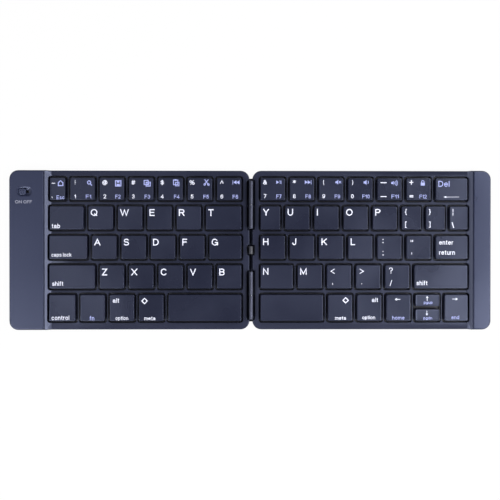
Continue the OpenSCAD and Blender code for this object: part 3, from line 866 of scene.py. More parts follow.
STEM = ((0, 0), (0, 1))
LOW_STEM = ((0, 0), (0, 0.69))
BOWL = ring(0.5, 0.345, 0.5, 0.345)
ARCH = line((0, 0.38)) + bow(0.5, 0.4, 0.5, 0.29, 180, 0) + line((1, 0))
DOT = ((0.5, 0), (0.5, 0.02))
HIGH_DOT = ((0.5, 0.6), (0.5, 0.62))
GLYPHS: dict[str, Glyph] = {
    "A": glyph(0.92, ((0, 0), (0.5, 1), (1, 0)), ((0.22, 0.34), (0.78, 0.34))),
    "B": glyph(0.78, STEM, line((0, 1)) + bow(0.6, 0.765, 0.33, 0.235, 90, -90) + line((0, 0.53)),
               line((0, 0.53)) + bow(0.62, 0.265, 0.38, 0.265, 90, -90) + line((0, 0))),
    "C": glyph(0.9, bow(0.52, 0.5, 0.52, 0.5, 40, 320)),
    "D": glyph(0.84, STEM, line((0, 1)) + bow(0.42, 0.5, 0.58, 0.5, 90, -90) + line((0, 0))),
    "E": glyph(0.75, ((1, 1), (0, 1), (0, 0), (1, 0)), ((0, 0.52), (0.9, 0.52))),
    "F": glyph(0.7, ((1, 1), (0, 1), (0, 0)), ((0, 0.52), (0.88, 0.52))),
    "G": glyph(0.93, bow(0.5, 0.5, 0.5, 0.5, 42, 330), ((0.56, 0.44), (1, 0.44), (1, 0.04))),
    "H": glyph(0.8, STEM, ((1, 0), (1, 1)), ((0, 0.52), (1, 0.52))),
    "I": glyph(0.13, ((0.5, 0), (0.5, 1))),
    "J": glyph(0.58, line((1, 1)) + bow(0.5, 0.3, 0.5, 0.3, 0, -170)),
    "K": glyph(0.82, STEM, ((0.96, 1), (0, 0.34)), ((0.32, 0.58), (1, 0))),
    "L": glyph(0.65, ((0, 1), (0, 0), (1, 0))),
    "M": glyph(0.95, ((0, 0), (0, 1), (0.5, 0.05), (1, 1), (1, 0))),
    "N": glyph(0.79, ((0, 0), (0, 1), (1, 0), (1, 1))),
    "O": glyph(0.98, ring(0.5, 0.5, 0.5, 0.5)),
    "P": glyph(0.78, STEM, line((0, 1)) + bow(0.62, 0.735, 0.38, 0.265, 90, -90) + line((0, 0.47))),
    "Q": glyph(0.98, ring(0.5, 0.5, 0.5, 0.5), ((0.62, 0.26), (0.98, -0.02))),
    "R": glyph(0.84, STEM, line((0, 1)) + bow(0.62, 0.745, 0.34, 0.255, 90, -90) + line((0, 0.49)),
               ((0.62, 0.46), (0.98, 0))),
    "S": glyph(0.8, bow(0.5, 0.75, 0.46, 0.25, 25, 270) + bow(0.5, 0.25, 0.5, 0.25, 90, -156)[1:]),
    "T": glyph(0.8, ((0, 1), (1, 1)), ((0.5, 0), (0.5, 1))),
    "U": glyph(0.8, line((0, 1)) + bow(0.5, 0.36, 0.5, 0.36, 180, 360) + line((1, 1))),
    "V": glyph(0.88, ((0, 1), (0.5, 0), (1, 1))),
    "W": glyph(1.28, ((0, 1), (0.26, 0), (0.5, 0.95), (0.74, 0), (1, 1))),
    "X": glyph(0.88, ((0, 1), (1, 0)), ((0, 0), (1, 1))),
    "Y": glyph(0.87, ((0, 1), (0.5, 0.42), (1, 1)), ((0.5, 0.42), (0.5, 0))),
    "Z": glyph(0.79, ((0.04, 1), (0.96, 1), (0.02, 0), (1, 0))),
    "a": glyph(0.66, bow(0.46, 0.47, 0.42, 0.22, 165, 0) + line((0.88, 0.12), (0.98, 0)),
               line((0.88, 0.4)) + bow(0.34, 0.185, 0.34, 0.185, 95, 285) + line((0.7, 0.08), (0.88, 0.2))),
    "b": glyph(0.64, STEM, BOWL),
    "c": glyph(0.62, bow(0.52, 0.345, 0.52, 0.345, 42, 318)),
    "d": glyph(0.64, ((1, 0), (1, 1)), BOWL),
    "e": glyph(0.66, line((0.03, 0.36)) + bow(0.5, 0.345, 0.5, 0.345, 3, 316)),
    "f": glyph(0.4, line((0.42, 0)) + bow(0.98, 0.8, 0.56, 0.2, 180, 90), ((0, 0.69), (0.9, 0.69))),
    "g": glyph(0.64, BOWL, line((1, 0.69)) + bow(0.5, -0.03, 0.5, 0.21, 0, -155)),
    "h": glyph(0.6, STEM, ARCH),
    "i": glyph(0.13, ((0.5, 0), (0.5, 0.69)), ((0.5, 0.97), (0.5, 1))),
    "k": glyph(0.6, STEM, ((0.92, 0.69), (0, 0.2)), ((0.36, 0.4), (1, 0))),
    "l": glyph(0.13, ((0.5, 0), (0.5, 1))),
    "m": glyph(0.98, LOW_STEM, line((0, 0.4)) + bow(0.25, 0.45, 0.25, 0.24, 180, 0) + line((0.5, 0)),
               line((0.5, 0.4)) + bow(0.75, 0.45, 0.25, 0.24, 180, 0) + line((1, 0))),
    "n": glyph(0.6, LOW_STEM, ARCH),
    "o": glyph(0.68, BOWL),
    "p": glyph(0.64, ((0, -0.24), (0, 0.69)), BOWL),
    "r": glyph(0.38, LOW_STEM, line((0, 0.36)) + bow(0.95, 0.4, 0.95, 0.29, 180, 95)),
    "s": glyph(0.6, bow(0.5, 0.52, 0.45, 0.17, 28, 270) + bow(0.5, 0.175, 0.5, 0.175, 90, -154)[1:]),
    "t": glyph(0.38, line((0.42, 0.92)) + bow(0.9, 0.14, 0.48, 0.14, 180, 265), ((0, 0.69), (0.92, 0.69))),
    "u": glyph(0.6, line((0, 0.69)) + bow(0.5, 0.29, 0.5, 0.29, 180, 360) + line((1, 0.3)),
               ((1, 0), (1, 0.69))),
    "0": glyph(0.66, ring(0.5, 0.5, 0.5, 0.5)),
    "1": glyph(0.38, ((0, 0.74), (0.6, 0.82), (1, 1), (1, 0))),
    "2": glyph(0.66, bow(0.48, 0.72, 0.48, 0.28, 165, -35) + line((0, 0), (1, 0))),
    "3": glyph(0.66, bow(0.48, 0.76, 0.44, 0.24, 160, -90), bow(0.48, 0.26, 0.52, 0.26, 90, -160)),
    "4": glyph(0.7, ((0.78, 0), (0.78, 1), (0, 0.28), (1, 0.28))),
    "5": glyph(0.68, line((0.92, 1), (0.18, 1), (0.06, 0.48)) + bow(0.48, 0.33, 0.52, 0.33, 140, -155)),
    "6": glyph(0.67, ring(0.5, 0.32, 0.5, 0.32), bow(0.54, 0.5, 0.54, 0.5, 45, 200)),
    "7": glyph(0.66, ((0, 1), (1, 1), (0.32, 0))),
    "8": glyph(0.67, ring(0.5, 0.76, 0.42, 0.24), ring(0.5, 0.26, 0.5, 0.26)),
    "9": glyph(0.67, ring(0.5, 0.68, 0.5, 0.32), bow(0.46, 0.5, 0.54, 0.5, 20, -135)),
    "!": glyph(0.15, ((0.5, 0.3), (0.5, 1)), DOT),
    "@": glyph(1.15, ring(0.46, 0.42, 0.2, 0.26),
               line((0.7, 0.7), (0.68, 0.26)) + bow(0.5, 0.42, 0.5, 0.58, -25, 300)),
    "#": glyph(0.9, ((0.2, 0), (0.36, 1)), ((0.62, 0), (0.78, 1)), ((0.06, 0.67), (1, 0.67)),
               ((0, 0.32), (0.94, 0.32))),
    "$": glyph(0.76, bow(0.5, 0.71, 0.46, 0.21, 25, 270) + bow(0.5, 0.29, 0.5, 0.21, 90, -156)[1:],
               ((0.5, -0.08), (0.5, 1.08))),
    "%": glyph(1.15, ring(0.19, 0.76, 0.19, 0.24), ring(0.81, 0.24, 0.19, 0.24), ((0.22, 0), (0.78, 1))),
    "^": glyph(0.75, ((0, 0.3), (0.5, 1), (1, 0.3))),
    "&": glyph(0.9, line((1, 0), (0.26, 0.66)) + bow(0.46, 0.8, 0.24, 0.2, 210, -30) + line((0.2, 0.42))
               + bow(0.4, 0.24, 0.4, 0.24, 140, 310) + line((0.95, 0.5))),
    "*": glyph(0.75, ((0.5, 0.3), (0.5, 1)), ((0.06, 0.48), (0.94, 0.84)), ((0.06, 0.84), (0.94, 0.48))),
    "(": glyph(0.3, bow(1, 0.45, 1, 0.66, 115, 245)),
    ")": glyph(0.3, bow(0, 0.45, 1, 0.66, 65, -65)),
    "+": glyph(0.95, ((0, 0.5), (1, 0.5)), ((0.5, 0), (0.5, 1))),
    "=": glyph(0.95, ((0, 0.72), (1, 0.72)), ((0, 0.34), (1, 0.34))),
    "{": glyph(0.34, line((1, 1), (0.5, 0.92), (0.5, 0.6), (0, 0.45), (0.5, 0.3), (0.5, -0.02), (1, -0.1))),
    "}": glyph(0.34, line((0, 1), (0.5, 0.92), (0.5, 0.6), (1, 0.45), (0.5, 0.3), (0.5, -0.02), (0, -0.1))),
    "[": glyph(0.3, ((1, 1), (0.1, 1), (0.1, -0.1), (1, -0.1))),
    "]": glyph(0.3, ((0, 1), (0.9, 1), (0.9, -0.1), (0, -0.1))),
    "|": glyph(0.13, ((0.5, 0.58), (0.5, 1)), ((0.5, 0.32), (0.5, -0.1))),
    "\\": glyph(0.4, ((0, 1), (1, 0))),
    "/": glyph(0.4, ((0, 0), (1, 1))),
    ":": glyph(0.15, DOT, HIGH_DOT),
    ";": glyph(0.15, ((0.5, 0.02), (0.4, -0.16)), HIGH_DOT),
    "\"": glyph(0.4, ((0, 0.72), (0, 1)), ((1, 0.72), (1, 1))),
    "'": glyph(0.13, ((0.5, 0.72), (0.5, 1))),
    "<": glyph(0.72, ((1, 0.88), (0, 0.46), (1, 0.04))),
    ">": glyph(0.72, ((0, 0.88), (1, 0.46), (0, 0.04))),
    ",": glyph(0.15, ((0.5, 0.02), (0.4, -0.16))),
    ".": glyph(0.15, DOT),
    "?": glyph(0.62, bow(0.5, 0.74, 0.5, 0.26, 165, -45) + line((0.5, 0.44), (0.5, 0.28)), DOT),
    "`": glyph(0.28, ((0, 1), (1, 0.8))),
    "~": glyph(0.85, ((0, 0.36), (0.22, 0.5), (0.5, 0.43), (0.78, 0.36), (1, 0.5))),
    " ": glyph(0.18),
}


class TypeCase:
    """Words and icons as closed solids, 1 high with a capital's foot at 0, made once each.

    Attributes:
        PENS: The width of the pen for some characters, as a share of the usual one.
    """

    PENS = {**dict.fromkeys("[]{}|/<>();.,'\"?!", 0.8), **dict.fromkeys("+=", 1.3)}

    def __init__(self, pen: float = 0.145, gap: float = 0.14) -> None:
        """Takes the width of the pen and the gap between characters, where a capital is 1 high."""
        self.pen = pen
        self.gap = gap
        self.made: dict[str | Icon, Solid] = {}

    def write(self, text: str) -> list[list[Line]]:
        """Writes a word with square ends to the strokes.

        Args:
            text: The word.

        Returns:
            The outlines of its strokes.
        """
        outlines, left = [], 0.0
        for char in text:
            drawn, pen = GLYPHS[char], self.pen * self.PENS.get(char, 1.0)
            size, half = Vector((max(0.0, drawn.width - pen), 1 - pen)), pen / 2
            for way in drawn.strokes:
                path = [Vector((left + half, half)) + p * size for p in way]
                closed = len(path) > 2 and (path[0] - path[-1]).length < 1e-6
                if closed:
                    path = path[:-1]
                else:
                    path[0] = path[0] + (path[0] - path[1]).normalized() * half
                    path[-1] = path[-1] + (path[-1] - path[-2]).normalized() * half
                outlines.append(stroke(path, pen, closed))
            left += drawn.width + self.gap
        return outlines

    def get(self, what: str | Icon) -> Solid:
        """Gives the solid of a word or icon, making it the first time."""
        if what not in self.made:
            shape = Shape()
            for outlines in draw_icon(what) if isinstance(what, Icon) else self.write(what):
                holed = len(outlines) > 1
                walls = [level(outlines[0], -0.5), level(outlines[0], 0.5)]
                if holed:
                    walls += [level(outlines[1], 0.5), level(outlines[1], -0.5)]
                shape.stack(walls, looped=holed)
            self.made[what] = Solid(shape.points, shape.faces)
        return self.made[what]


Legend = tuple[Mark, ...]
LETTER_HEIGHT = 4.15
DASH_HEIGHT = 0.55
DASH_LIFT = 0.1  # from the middle of a character's height to the middle of a dash in its place
UPPER_TOP, UPPER_HEIGHT = 1.9, 2.7
LOWER_TOP, LOWER_HEIGHT = 10.6, 2.5
LABEL_TOP, LABEL_HEIGHT = 10.8, 2.35
SIGN_HEIGHT = 3.6
LETTER_LEFT = {"left": 1.65, "right": 1.75}
WORD_HEIGHT = 2.7
SMALL_WORD = 2.3


def letters(side: str, chars: str, top: float) -> list[Legend]:
    """Gives one capital for each cap of a row of letter keys on that side."""
    return [(Mark(char, LETTER_LEFT[side], top, LETTER_HEIGHT),) for char in chars]


def middled(char: str | Icon, centre: float, top: float, height: float) -> Mark:
    """Gives a character or dash whose middle is at a distance from the cap's left edge."""
    if char is Icon.DASH:
        return Mark(char, centre - DASH_LENGTH / 2 * DASH_HEIGHT, top + height / 2 - DASH_LIFT, DASH_HEIGHT)
    return Mark(char, centre - GLYPHS[char].width * height / 2, top, height)


def number_key(centre: float, upper: str | Icon, lower: str | Icon, number: int, icon: Icon,
               left: float, top: float, height: float) -> Legend:
    """Gives the four prints of a number key.

    Args:
        centre: From the cap's left edge to the middle of the two characters.
        upper: The character above.
        lower: The character below.
        number: The number of its F key.
        icon: The blue icon at the back right.
        left: From the cap's left edge to the icon.
        top: From the cap's back edge to the icon.
        height: The icon's height.

    Returns:
        The marks.
    """
    rise = 0.15 if number < 7 else 0.4
    label_left = {10: 8.9, 11: 8.9, 12: 8.2}.get(number, 9.85)
    label_width = 3.3 if number < 10 else 4.5
    label = Mark(f"F{number}", label_left, LABEL_TOP - rise, LABEL_HEIGHT, label_width, Ink.BLUE)
    return (middled(upper, centre, UPPER_TOP - rise, UPPER_HEIGHT),
            middled(lower, centre, LOWER_TOP - rise, LOWER_HEIGHT),
            Mark(icon, left, top, height, ink=Ink.BLUE), label)


def pair(centre: float, upper: str, lower: str, tops: tuple[float, float] = (1.75, 9.55)) -> Legend:
    """Gives two characters, one above the other."""
    return middled(upper, centre, tops[0], SIGN_HEIGHT), middled(lower, centre, tops[1], SIGN_HEIGHT)


LEGENDS: dict[str, list[Legend]] = {
    "key_esc": [(Mark("~", 1.3, 2.2, 2.7), Mark(Icon.HOME, 5.1, 1.8, 3.5, ink=Ink.BLUE),
                 Mark("`", 1.3, 11.9, 2.6), Mark("Esc", 4.35, 11.1, 2.3, 4.7, Ink.BLUE))],
    "keys_1_to_6": [
        number_key(3.3, "!", "1", 1, Icon.SEARCH, 10.4, 1.85, 3.5),
        number_key(3.45, "@", "2", 2, Icon.SAVE, 9.8, 1.85, 3.7),
        number_key(2.9, "#", "3", 3, Icon.COPY, 9.3, 1.6, 4.0),
        number_key(2.6, "$", "4", 4, Icon.PASTE, 9.1, 1.4, 3.8),
        number_key(2.9, "%", "5", 5, Icon.CUT, 9.85, 1.2, 3.8),
        number_key(3.2, "^", "6", 6, Icon.BACK, 9.8, 1.7, 2.5)],
    "key_tab": [(Mark("tab", 1.5, 11.0, 2.8, 5.1),)],
    "keys_q_to_t": letters("left", "QWERT", 2.1),
    "key_caps": [(Mark("caps lock", 1.6, 10.8, 2.35, 12.2),)],
    "keys_a_to_g": letters("left", "ASDFG", 2.15),
    "key_shift_left": [(Mark("shift", 2.0, 10.25, WORD_HEIGHT, 6.7),)],
    "keys_z_to_b": letters("left", "ZXCVB", 2.4),
    "key_ctrl": [(Mark("control", 1.8, 13.0, WORD_HEIGHT, 10.8),)],
    "key_fn": [(Mark("fn", 5.95, 13.25, WORD_HEIGHT, 2.9, Ink.BLUE),)],
    "key_alt_left": [(Mark("alt", 2.2, 2.45, WORD_HEIGHT, 3.8), Mark("option", 3.8, 13.45, SMALL_WORD, 7.8))],
    "key_meta_left": [(Mark(Icon.DIAMOND, 1.8, 2.3, 3.6), Mark("meta", 3.5, 13.6, SMALL_WORD, 6.8))],
    "key_space_left": [()],
    "keys_7_to_equals": [
        number_key(2.95, "&", "7", 7, Icon.PLAY, 9.9, 1.75, 2.2),
        number_key(2.95, "*", "8", 8, Icon.NEXT, 9.4, 1.65, 2.4),
        number_key(3.1, "(", "9", 9, Icon.MUTE, 10.3, 1.1, 3.4),
        number_key(2.75, ")", "0", 10, Icon.QUIETER, 9.7, 1.1, 3.6),
        number_key(4.0, Icon.DASH, Icon.DASH, 11, Icon.LOUDER, 8.7, 1.75, 3.0),
        number_key(3.2, "+", "=", 12, Icon.LOCK, 8.6, 1.5, 3.3)],
    "key_delete": [(Mark("Del", 1.9, 1.9, 3.6, 6.9, Ink.BLUE), Mark(Icon.ERASE, 5.1, 11.2, 1.3))],
    "keys_y_to_p": letters("right", "YUIOP", 1.85),
    "keys_brackets": [pair(2.72, "{", "["), pair(2.64, "}", "]"), pair(2.2, "|", "\\", (1.9, 10.0))],
    "keys_h_to_l": letters("right", "HJKL", 1.9),
    "keys_semicolon_quote": [pair(3.73, ":", ";", (1.1, 8.45)), pair(3.47, "\"", "'", (2.75, 10.45))],
    "key_enter": [(Mark("enter", 2.4, 2.9, 2.8, 8.7), Mark("return", 2.4, 9.15, 2.8, 9.8))],
    "keys_n_to_slash": letters("right", "NM", 2.05) + [
        pair(3.76, "<", ",", (2.1, 8.25)), pair(3.72, ">", ".", (2.1, 8.4)), pair(3.75, "?", "/")],
    "key_shift_right": [(Mark("shift", 1.6, 9.85, 2.8, 6.7),)],
    "key_space_right": [()],
    "key_meta_right": [(Mark(Icon.DIAMOND, 9.3, 1.95, 3.6), Mark("meta", 4.6, 13.45, SMALL_WORD, 6.8))],
    "key_alt_right": [(Mark("alt", 9.3, 2.1, WORD_HEIGHT, 3.8), Mark("option", 3.3, 13.15, SMALL_WORD, 8.0))],
    "key_arrow_left": [(Mark(Icon.ARROW_LEFT, 5.5, 2.3, 1.8),
                        Mark("home", 3.9, 13.35, SMALL_WORD, 7.6, Ink.BLUE))],
    "key_arrow_up": [(Mark(Icon.ARROW_UP, 6.7, 1.1, 1.6), Mark("pgup", 5.4, 4.2, 1.8, 5.4, Ink.BLUE))],
    "key_arrow_down": [(Mark(Icon.ARROW_DOWN, 6.5, 2.6, 1.6), Mark("pgdn", 5.2, 4.8, 1.8, 5.4, Ink.BLUE))],
    "key_arrow_right": [(Mark(Icon.ARROW_RIGHT, 6.7, 2.1, 1.8),
                         Mark("end", 4.5, 13.1, SMALL_WORD, 4.8, Ink.BLUE))],
}


# ---- Keys ----


@dataclass
class Keycaps:
    """The caps that move with one key body: thin moulded shells with a soft edge and a faint dish.

    Attributes:
        CORNER_STEPS: How many edges a corner has.
        CORNER_LOSS: How much a corner's radius shrinks for each millimetre inwards.
        EASE_STEPS: How many faces round the eased top edge.
        DISH_SHARES: Where the rings of the dish lie, from the side to the middle of the top.
        node: The CAD node that they replace.
        corner: The radius of a cap's corners.
        inner_corner: The radius of the corners inside the skirt.
        dish_corner: How much the corners round out from the middle of the dish to its rim.
        least_corner: The radius of the corners at the middle of the dish.
        ease: The radius that the top edge is eased by.
        draft: How far the side walls lean in from the foot to the top.
        foot: The width of the bevel round the foot.
        dish: How far the middle of the top lies below its rim.
        skirt: The thickness of the side walls.
        roof: The thickness under the top.
        post: The length of the post that presses the dome.
        post_radius: The largest radius of that post.
        proud: How far the ink stands above the plastic.
        sunk: How far it reaches into it.
    """

    CORNER_STEPS: ClassVar[int] = 5
    CORNER_LOSS: ClassVar[float] = 0.6
    EASE_STEPS: ClassVar[int] = 5
    DISH_SHARES: ClassVar[tuple[float, ...]] = (0.14, 0.35, 0.6, 0.85)

    node: str
    corner: float = 1.0
    inner_corner: float = 0.4
    dish_corner: float = 0.5
    least_corner: float = 0.1
    ease: float = 0.25
    draft: float = 0.3
    foot: float = 0.1
    dish: float = 0.05
    skirt: float = 0.8
    roof: float = 0.9
    post: float = 0.95
    post_radius: float = 1.3
    proud: float = 0.012
    sunk: float = 0.05

    @classmethod
    def ring(cls, cap: Solid, inset: float, radius: float, z: float) -> Line:
        """Gives a rounded box inside a cap's outline.

        Args:
            cap: The cap's CAD solid.
            inset: How far inside the outline.
            radius: The radius of the corners.
            z: The height.

        Returns:
            The points, anticlockwise.
        """
        low, high = cap.low + Vector((inset + radius,) * 3), cap.high - Vector((inset + radius,) * 3)
        corners = ((high.x, high.y, 0), (low.x, high.y, 90), (low.x, low.y, 180), (high.x, low.y, 270))
        flat = [p for x, y, start in corners
                for p in arc(x, y, radius, start, start + 90, cls.CORNER_STEPS + 1)]
        return level(flat, z)

    def half_depth(self, cap: Solid) -> float:
        """Gives the distance from a cap's middle to its nearest side."""
        size = cap.high - cap.low
        return min(size.x, size.y) / 2

    def top_at(self, cap: Solid, inset: float) -> float:
        """Gives the height of the dished top at a distance from the cap's side."""
        outwards = 1 - min(1.0, max(0.0, inset / self.half_depth(cap)))
        return cap.high.z - self.dish * (1 - outwards ** 2)

    def mould(self, cap: Solid, shape: Shape) -> None:
        """Adds one cap to a shape, from the foot of its post round the skirt to the middle of its top."""
        half, top, foot = self.half_depth(cap), cap.high.z, cap.low.z
        ceiling = top - self.roof
        post = min(self.post_radius, half / 6)
        middle = (cap.low + cap.high) / 2
        round_post = [p for start in (0, 90, 180, 270)
                      for p in arc(middle.x, middle.y, post, start + 2, start + 88, self.CORNER_STEPS + 1)]
        rings = [level(round_post, ceiling - self.post), level(round_post, ceiling),
                 self.ring(cap, self.skirt, self.inner_corner, ceiling),
                 self.ring(cap, self.skirt, self.inner_corner, foot),
                 self.ring(cap, self.foot, self.corner, foot),
                 self.ring(cap, 0.0, self.corner, foot + self.foot)]
        for step in range(self.EASE_STEPS + 1):
            angle = math.radians(90 * step / self.EASE_STEPS)
            inset = self.draft + self.ease * (1 - math.cos(angle))
            height = top - self.ease * (1 - math.sin(angle))
            rings.append(self.ring(cap, inset, self.corner - self.CORNER_LOSS * inset, height))
        for share in self.DISH_SHARES:
            inset = max(self.draft + self.ease + 0.1, half * share)
            radius = self.dish_corner * (1 - share) + self.least_corner
            rings.append(self.ring(cap, inset, radius, self.top_at(cap, inset)))
        shape.stack(rings)

    def print_mark(self, mark: Mark, cap: Solid, shape: Shape, case: TypeCase) -> None:
        """Lays one print on a cap's dished top.

        Args:
            mark: The print.
            cap: The cap's CAD solid.
            shape: The shape to add it to.
            case: The words and icons.
        """
        solid = case.get(mark.what)
        stretch = mark.width / solid.high.x if mark.width else mark.height
        points = []
        for p in solid.points:
            x = cap.low.x + mark.left + p.x * stretch
            y = cap.high.y - mark.top - mark.height * (1 - p.y)
            inset = min(x - cap.low.x, cap.high.x - x, y - cap.low.y, cap.high.y - y)
            points.append(Vector((x, y, self.top_at(cap, inset) + (self.proud if p.z > 0 else -self.sunk))))
        shape.add(points, solid.faces, mark.ink.value)

    def build(self, palette: Palette, case: TypeCase) -> bpy.types.Object:
        """Makes the caps and their legends.

        Args:
            palette: The materials.
            case: The words and icons.

        Returns:
            The piece, which rides on the key's body.
        """
        shape = Shape()
        for cap, legend in zip(solids(self.node), LEGENDS[self.node], strict=True):
            self.mould(cap, shape)
            for mark in legend:
                self.print_mark(mark, cap, shape, case)
        materials = [palette.slots["keycap_plastic"], palette.white, palette.blue]
        piece = shape.piece(f"{self.node}_caps", materials)
        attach(piece, f"{self.node}_body")
        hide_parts(self.node)
        return piece


class Lifter(Enum):
    """What stands under the caps and gives way as they go down, with its material slot."""

    DOMES = "dome_silicone"
    SCISSORS = "scissor_plastic"
    STABILIZER_WIRES = "spring_wire"


@dataclass
class Lifters:
    """The domes, links and wires of one half, shared out among the keys that press them.

    Attributes:
        side: The half.
        crease: The angle in degrees above which an edge stays sharp.
    """

    side: str
    crease: float = 35.0

    def build(self, palette: Palette) -> int:
        """Makes a piece of each kind for each key body of this half.

        Args:
            palette: The materials.

        Returns:
            The number of pieces.
        """
        count = 0
        for lifter in Lifter:
            node = f"{self.side}_{lifter.name.lower()}"
            found = solids(node)
            for joint in frame["joints"]:
                soft = [d for d in joint.get("deforming_nodes", []) if d["node"] == node]
                if not soft:
                    continue
                key = joint["name"].removeprefix("press_")
                mine = [s for s in found if any(self.is_under(s, cap) for cap in solids(key))]
                shape = Shape()
                for solid in mine:
                    shape.add(solid.points, solid.faces)
                piece = shape.piece(f"{node}_of_{key}", [palette.slots[lifter.value]], self.crease)
                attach(piece, f"{self.side}_half")
                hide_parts(node)
                bed = soft[0]["fixed_end_z_m"]
                rise = max(solid.high.z for solid in mine) * MM - bed
                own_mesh(piece)
                count += 1
        return count

    @staticmethod
    def is_under(solid: Solid, cap: Solid) -> bool:
        """Says whether a solid's middle lies below a cap."""
        middle = (solid.low + solid.high) / 2
        return cap.low.x < middle.x < cap.high.x and cap.low.y < middle.y < cap.high.y


# ---- Shells and hardware ----


@dataclass
class Shell:
    """A CAD node's solid with its edges eased, as moulding and finishing leave them.

    Attributes:
        LEAN: The least share of a sloping face's normal along X and along Z.
        node: The CAD node that it replaces.
        body: The body that it rides on.
        slot: The material slot.
        fine: The width of an eased edge where no larger one is set.
        rim: The width along the rims of the upper side.
        rims: The sides that have such a rim: front, back, outer or inner.
        reach: How far inside the node's outline an edge still counts as its rim.
        top: Only edges above this height, from the node's lowest point, count as rim.
        round: A node with an easing of its own on the shell's edges round it, or an empty text.
        round_rim: The width of that easing.
        round_run: How much further to the left of that node than to the right it goes.
        slope: True where the sides that slope along X get a lighter copy of the finish, painted light for the
            light that they catch.
        segments: How many faces round an eased edge.
        sharp: The angle in degrees from which an edge is eased.
    """

    LEAN: ClassVar[float] = 0.4

    node: str
    body: str
    slot: str
    fine: float = 0.12
    rim: float = 0.0
    rims: tuple[str, ...] = ()
    reach: float = 2.4
    top: float = 0.0
    round: str = ""
    round_rim: float = 0.25
    round_run: float = 3.2
    slope: bool = False
    segments: int = 3
    sharp: float = 35.0

    def width_at(self, point: Vector, low: Vector, high: Vector) -> float:
        """Gives the width of the eased edge at a point.

        Args:
            point: The middle of the edge.
            low: The lowest corner of the node's box.
            high: The highest corner of the node's box.

        Returns:
            The width, in millimetres.
        """
        near, far = sorted((abs(low.x), abs(high.x)))
        inside = {"front": point.y - low.y, "back": high.y - point.y,
                  "outer": far - abs(point.x), "inner": abs(point.x) - near}
        if point.z - low.z <= self.top:
            return self.fine
        if any(inside[side] < self.reach for side in self.rims):
            return self.rim
        if self.round and high.z - point.z < LEVEL:
            near_low, near_high = (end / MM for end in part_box(self.round))
            left = near_low.x - self.reach - self.round_run
            beside = left < point.x < near_high.x + self.reach
            along = near_low.y - self.reach < point.y < near_high.y + self.reach
            if beside and along:
                return self.round_rim
        return self.fine

    def build(self, palette: Palette) -> bpy.types.Object:
        """Makes the shell.

        Args:
            palette: The materials.

        Returns:
            The piece, which rides on its body.
        """
        solid = welded(self.node)
        bmesh.ops.dissolve_limit(solid, angle_limit=FLAT_ANGLE, verts=solid.verts, edges=solid.edges)
        points = [vertex.co for vertex in solid.verts]
        low, high = corner(points, min), corner(points, max)
        weights = solid.edges.layers.float.new("bevel_weight_edge")
        widest = max(self.fine, self.rim, self.round_rim if self.round else 0.0)
        for edge in solid.edges:
            if edge.is_manifold and edge.calc_face_angle_signed() > math.radians(self.sharp):
                middle = (edge.verts[0].co + edge.verts[1].co) / 2
                edge[weights] = self.width_at(middle, low, high) / widest
        solid.normal_update()
        # Where slope is set, the sloping sides get the lighter copy of the plastic as painted light.
        for face in solid.faces:
            leans = face.normal.z > self.LEAN and abs(face.normal.x) > self.LEAN
            face.material_index = int(self.slope and leans)
        bmesh.ops.scale(solid, vec=Vector((MM, MM, MM)), verts=solid.verts)
        mesh = bpy.data.meshes.new(f"{self.node}_shell")
        solid.to_mesh(mesh)
        solid.free()
        mesh.materials.append(palette.slots[self.slot])
        if self.slope:
            mesh.materials.append(palette.slope)
        mesh.polygons.foreach_set("use_smooth", [True] * len(mesh.polygons))
        piece = linked(mesh.name, mesh)
        bevel = piece.modifiers.new("eased_edges", "BEVEL")
        bevel.limit_method = "WEIGHT"
        bevel.width = widest * MM
        bevel.segments = self.segments
        bevel.use_clamp_overlap = False
        normals = piece.modifiers.new("flat_faces", "WEIGHTED_NORMAL")
        normals.keep_sharp = True
        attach(piece, self.body)
        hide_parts(self.node)
        return piece


def shells() -> list[Shell]:
    """Lists the shells and hardware whose edges show."""
    listed = [Shell("power_switch_knob", "switch_slider", "knob_plastic", fine=0.2)]
    around = ("front", "back", "outer", "inner")
    for side in SIDES:
        body = f"{side}_half"
        listed += [
            Shell(f"{side}_bar_cover", body, "shell_plastic", fine=0.15, rim=0.9, rims=around, top=4.0,
                  round="power_switch_knob" if side == "left" else ""),
            Shell(f"{side}_key_frame", body, "frame_plastic", fine=0.2, rim=0.6,
                  rims=("front", "back", "inner"), top=1.5, slope=True),
            Shell(f"{side}_base_cover", body, "base_metal", fine=0.12),
            Shell(f"{side}_hinge_brackets", body, "hinge_steel", fine=0.15),
            Shell(f"{side}_feet", body, "foot_rubber", fine=0.2),
            Shell(f"{side}_screws", body, "screw_steel", fine=0.06, segments=2),
        ]
    return listed


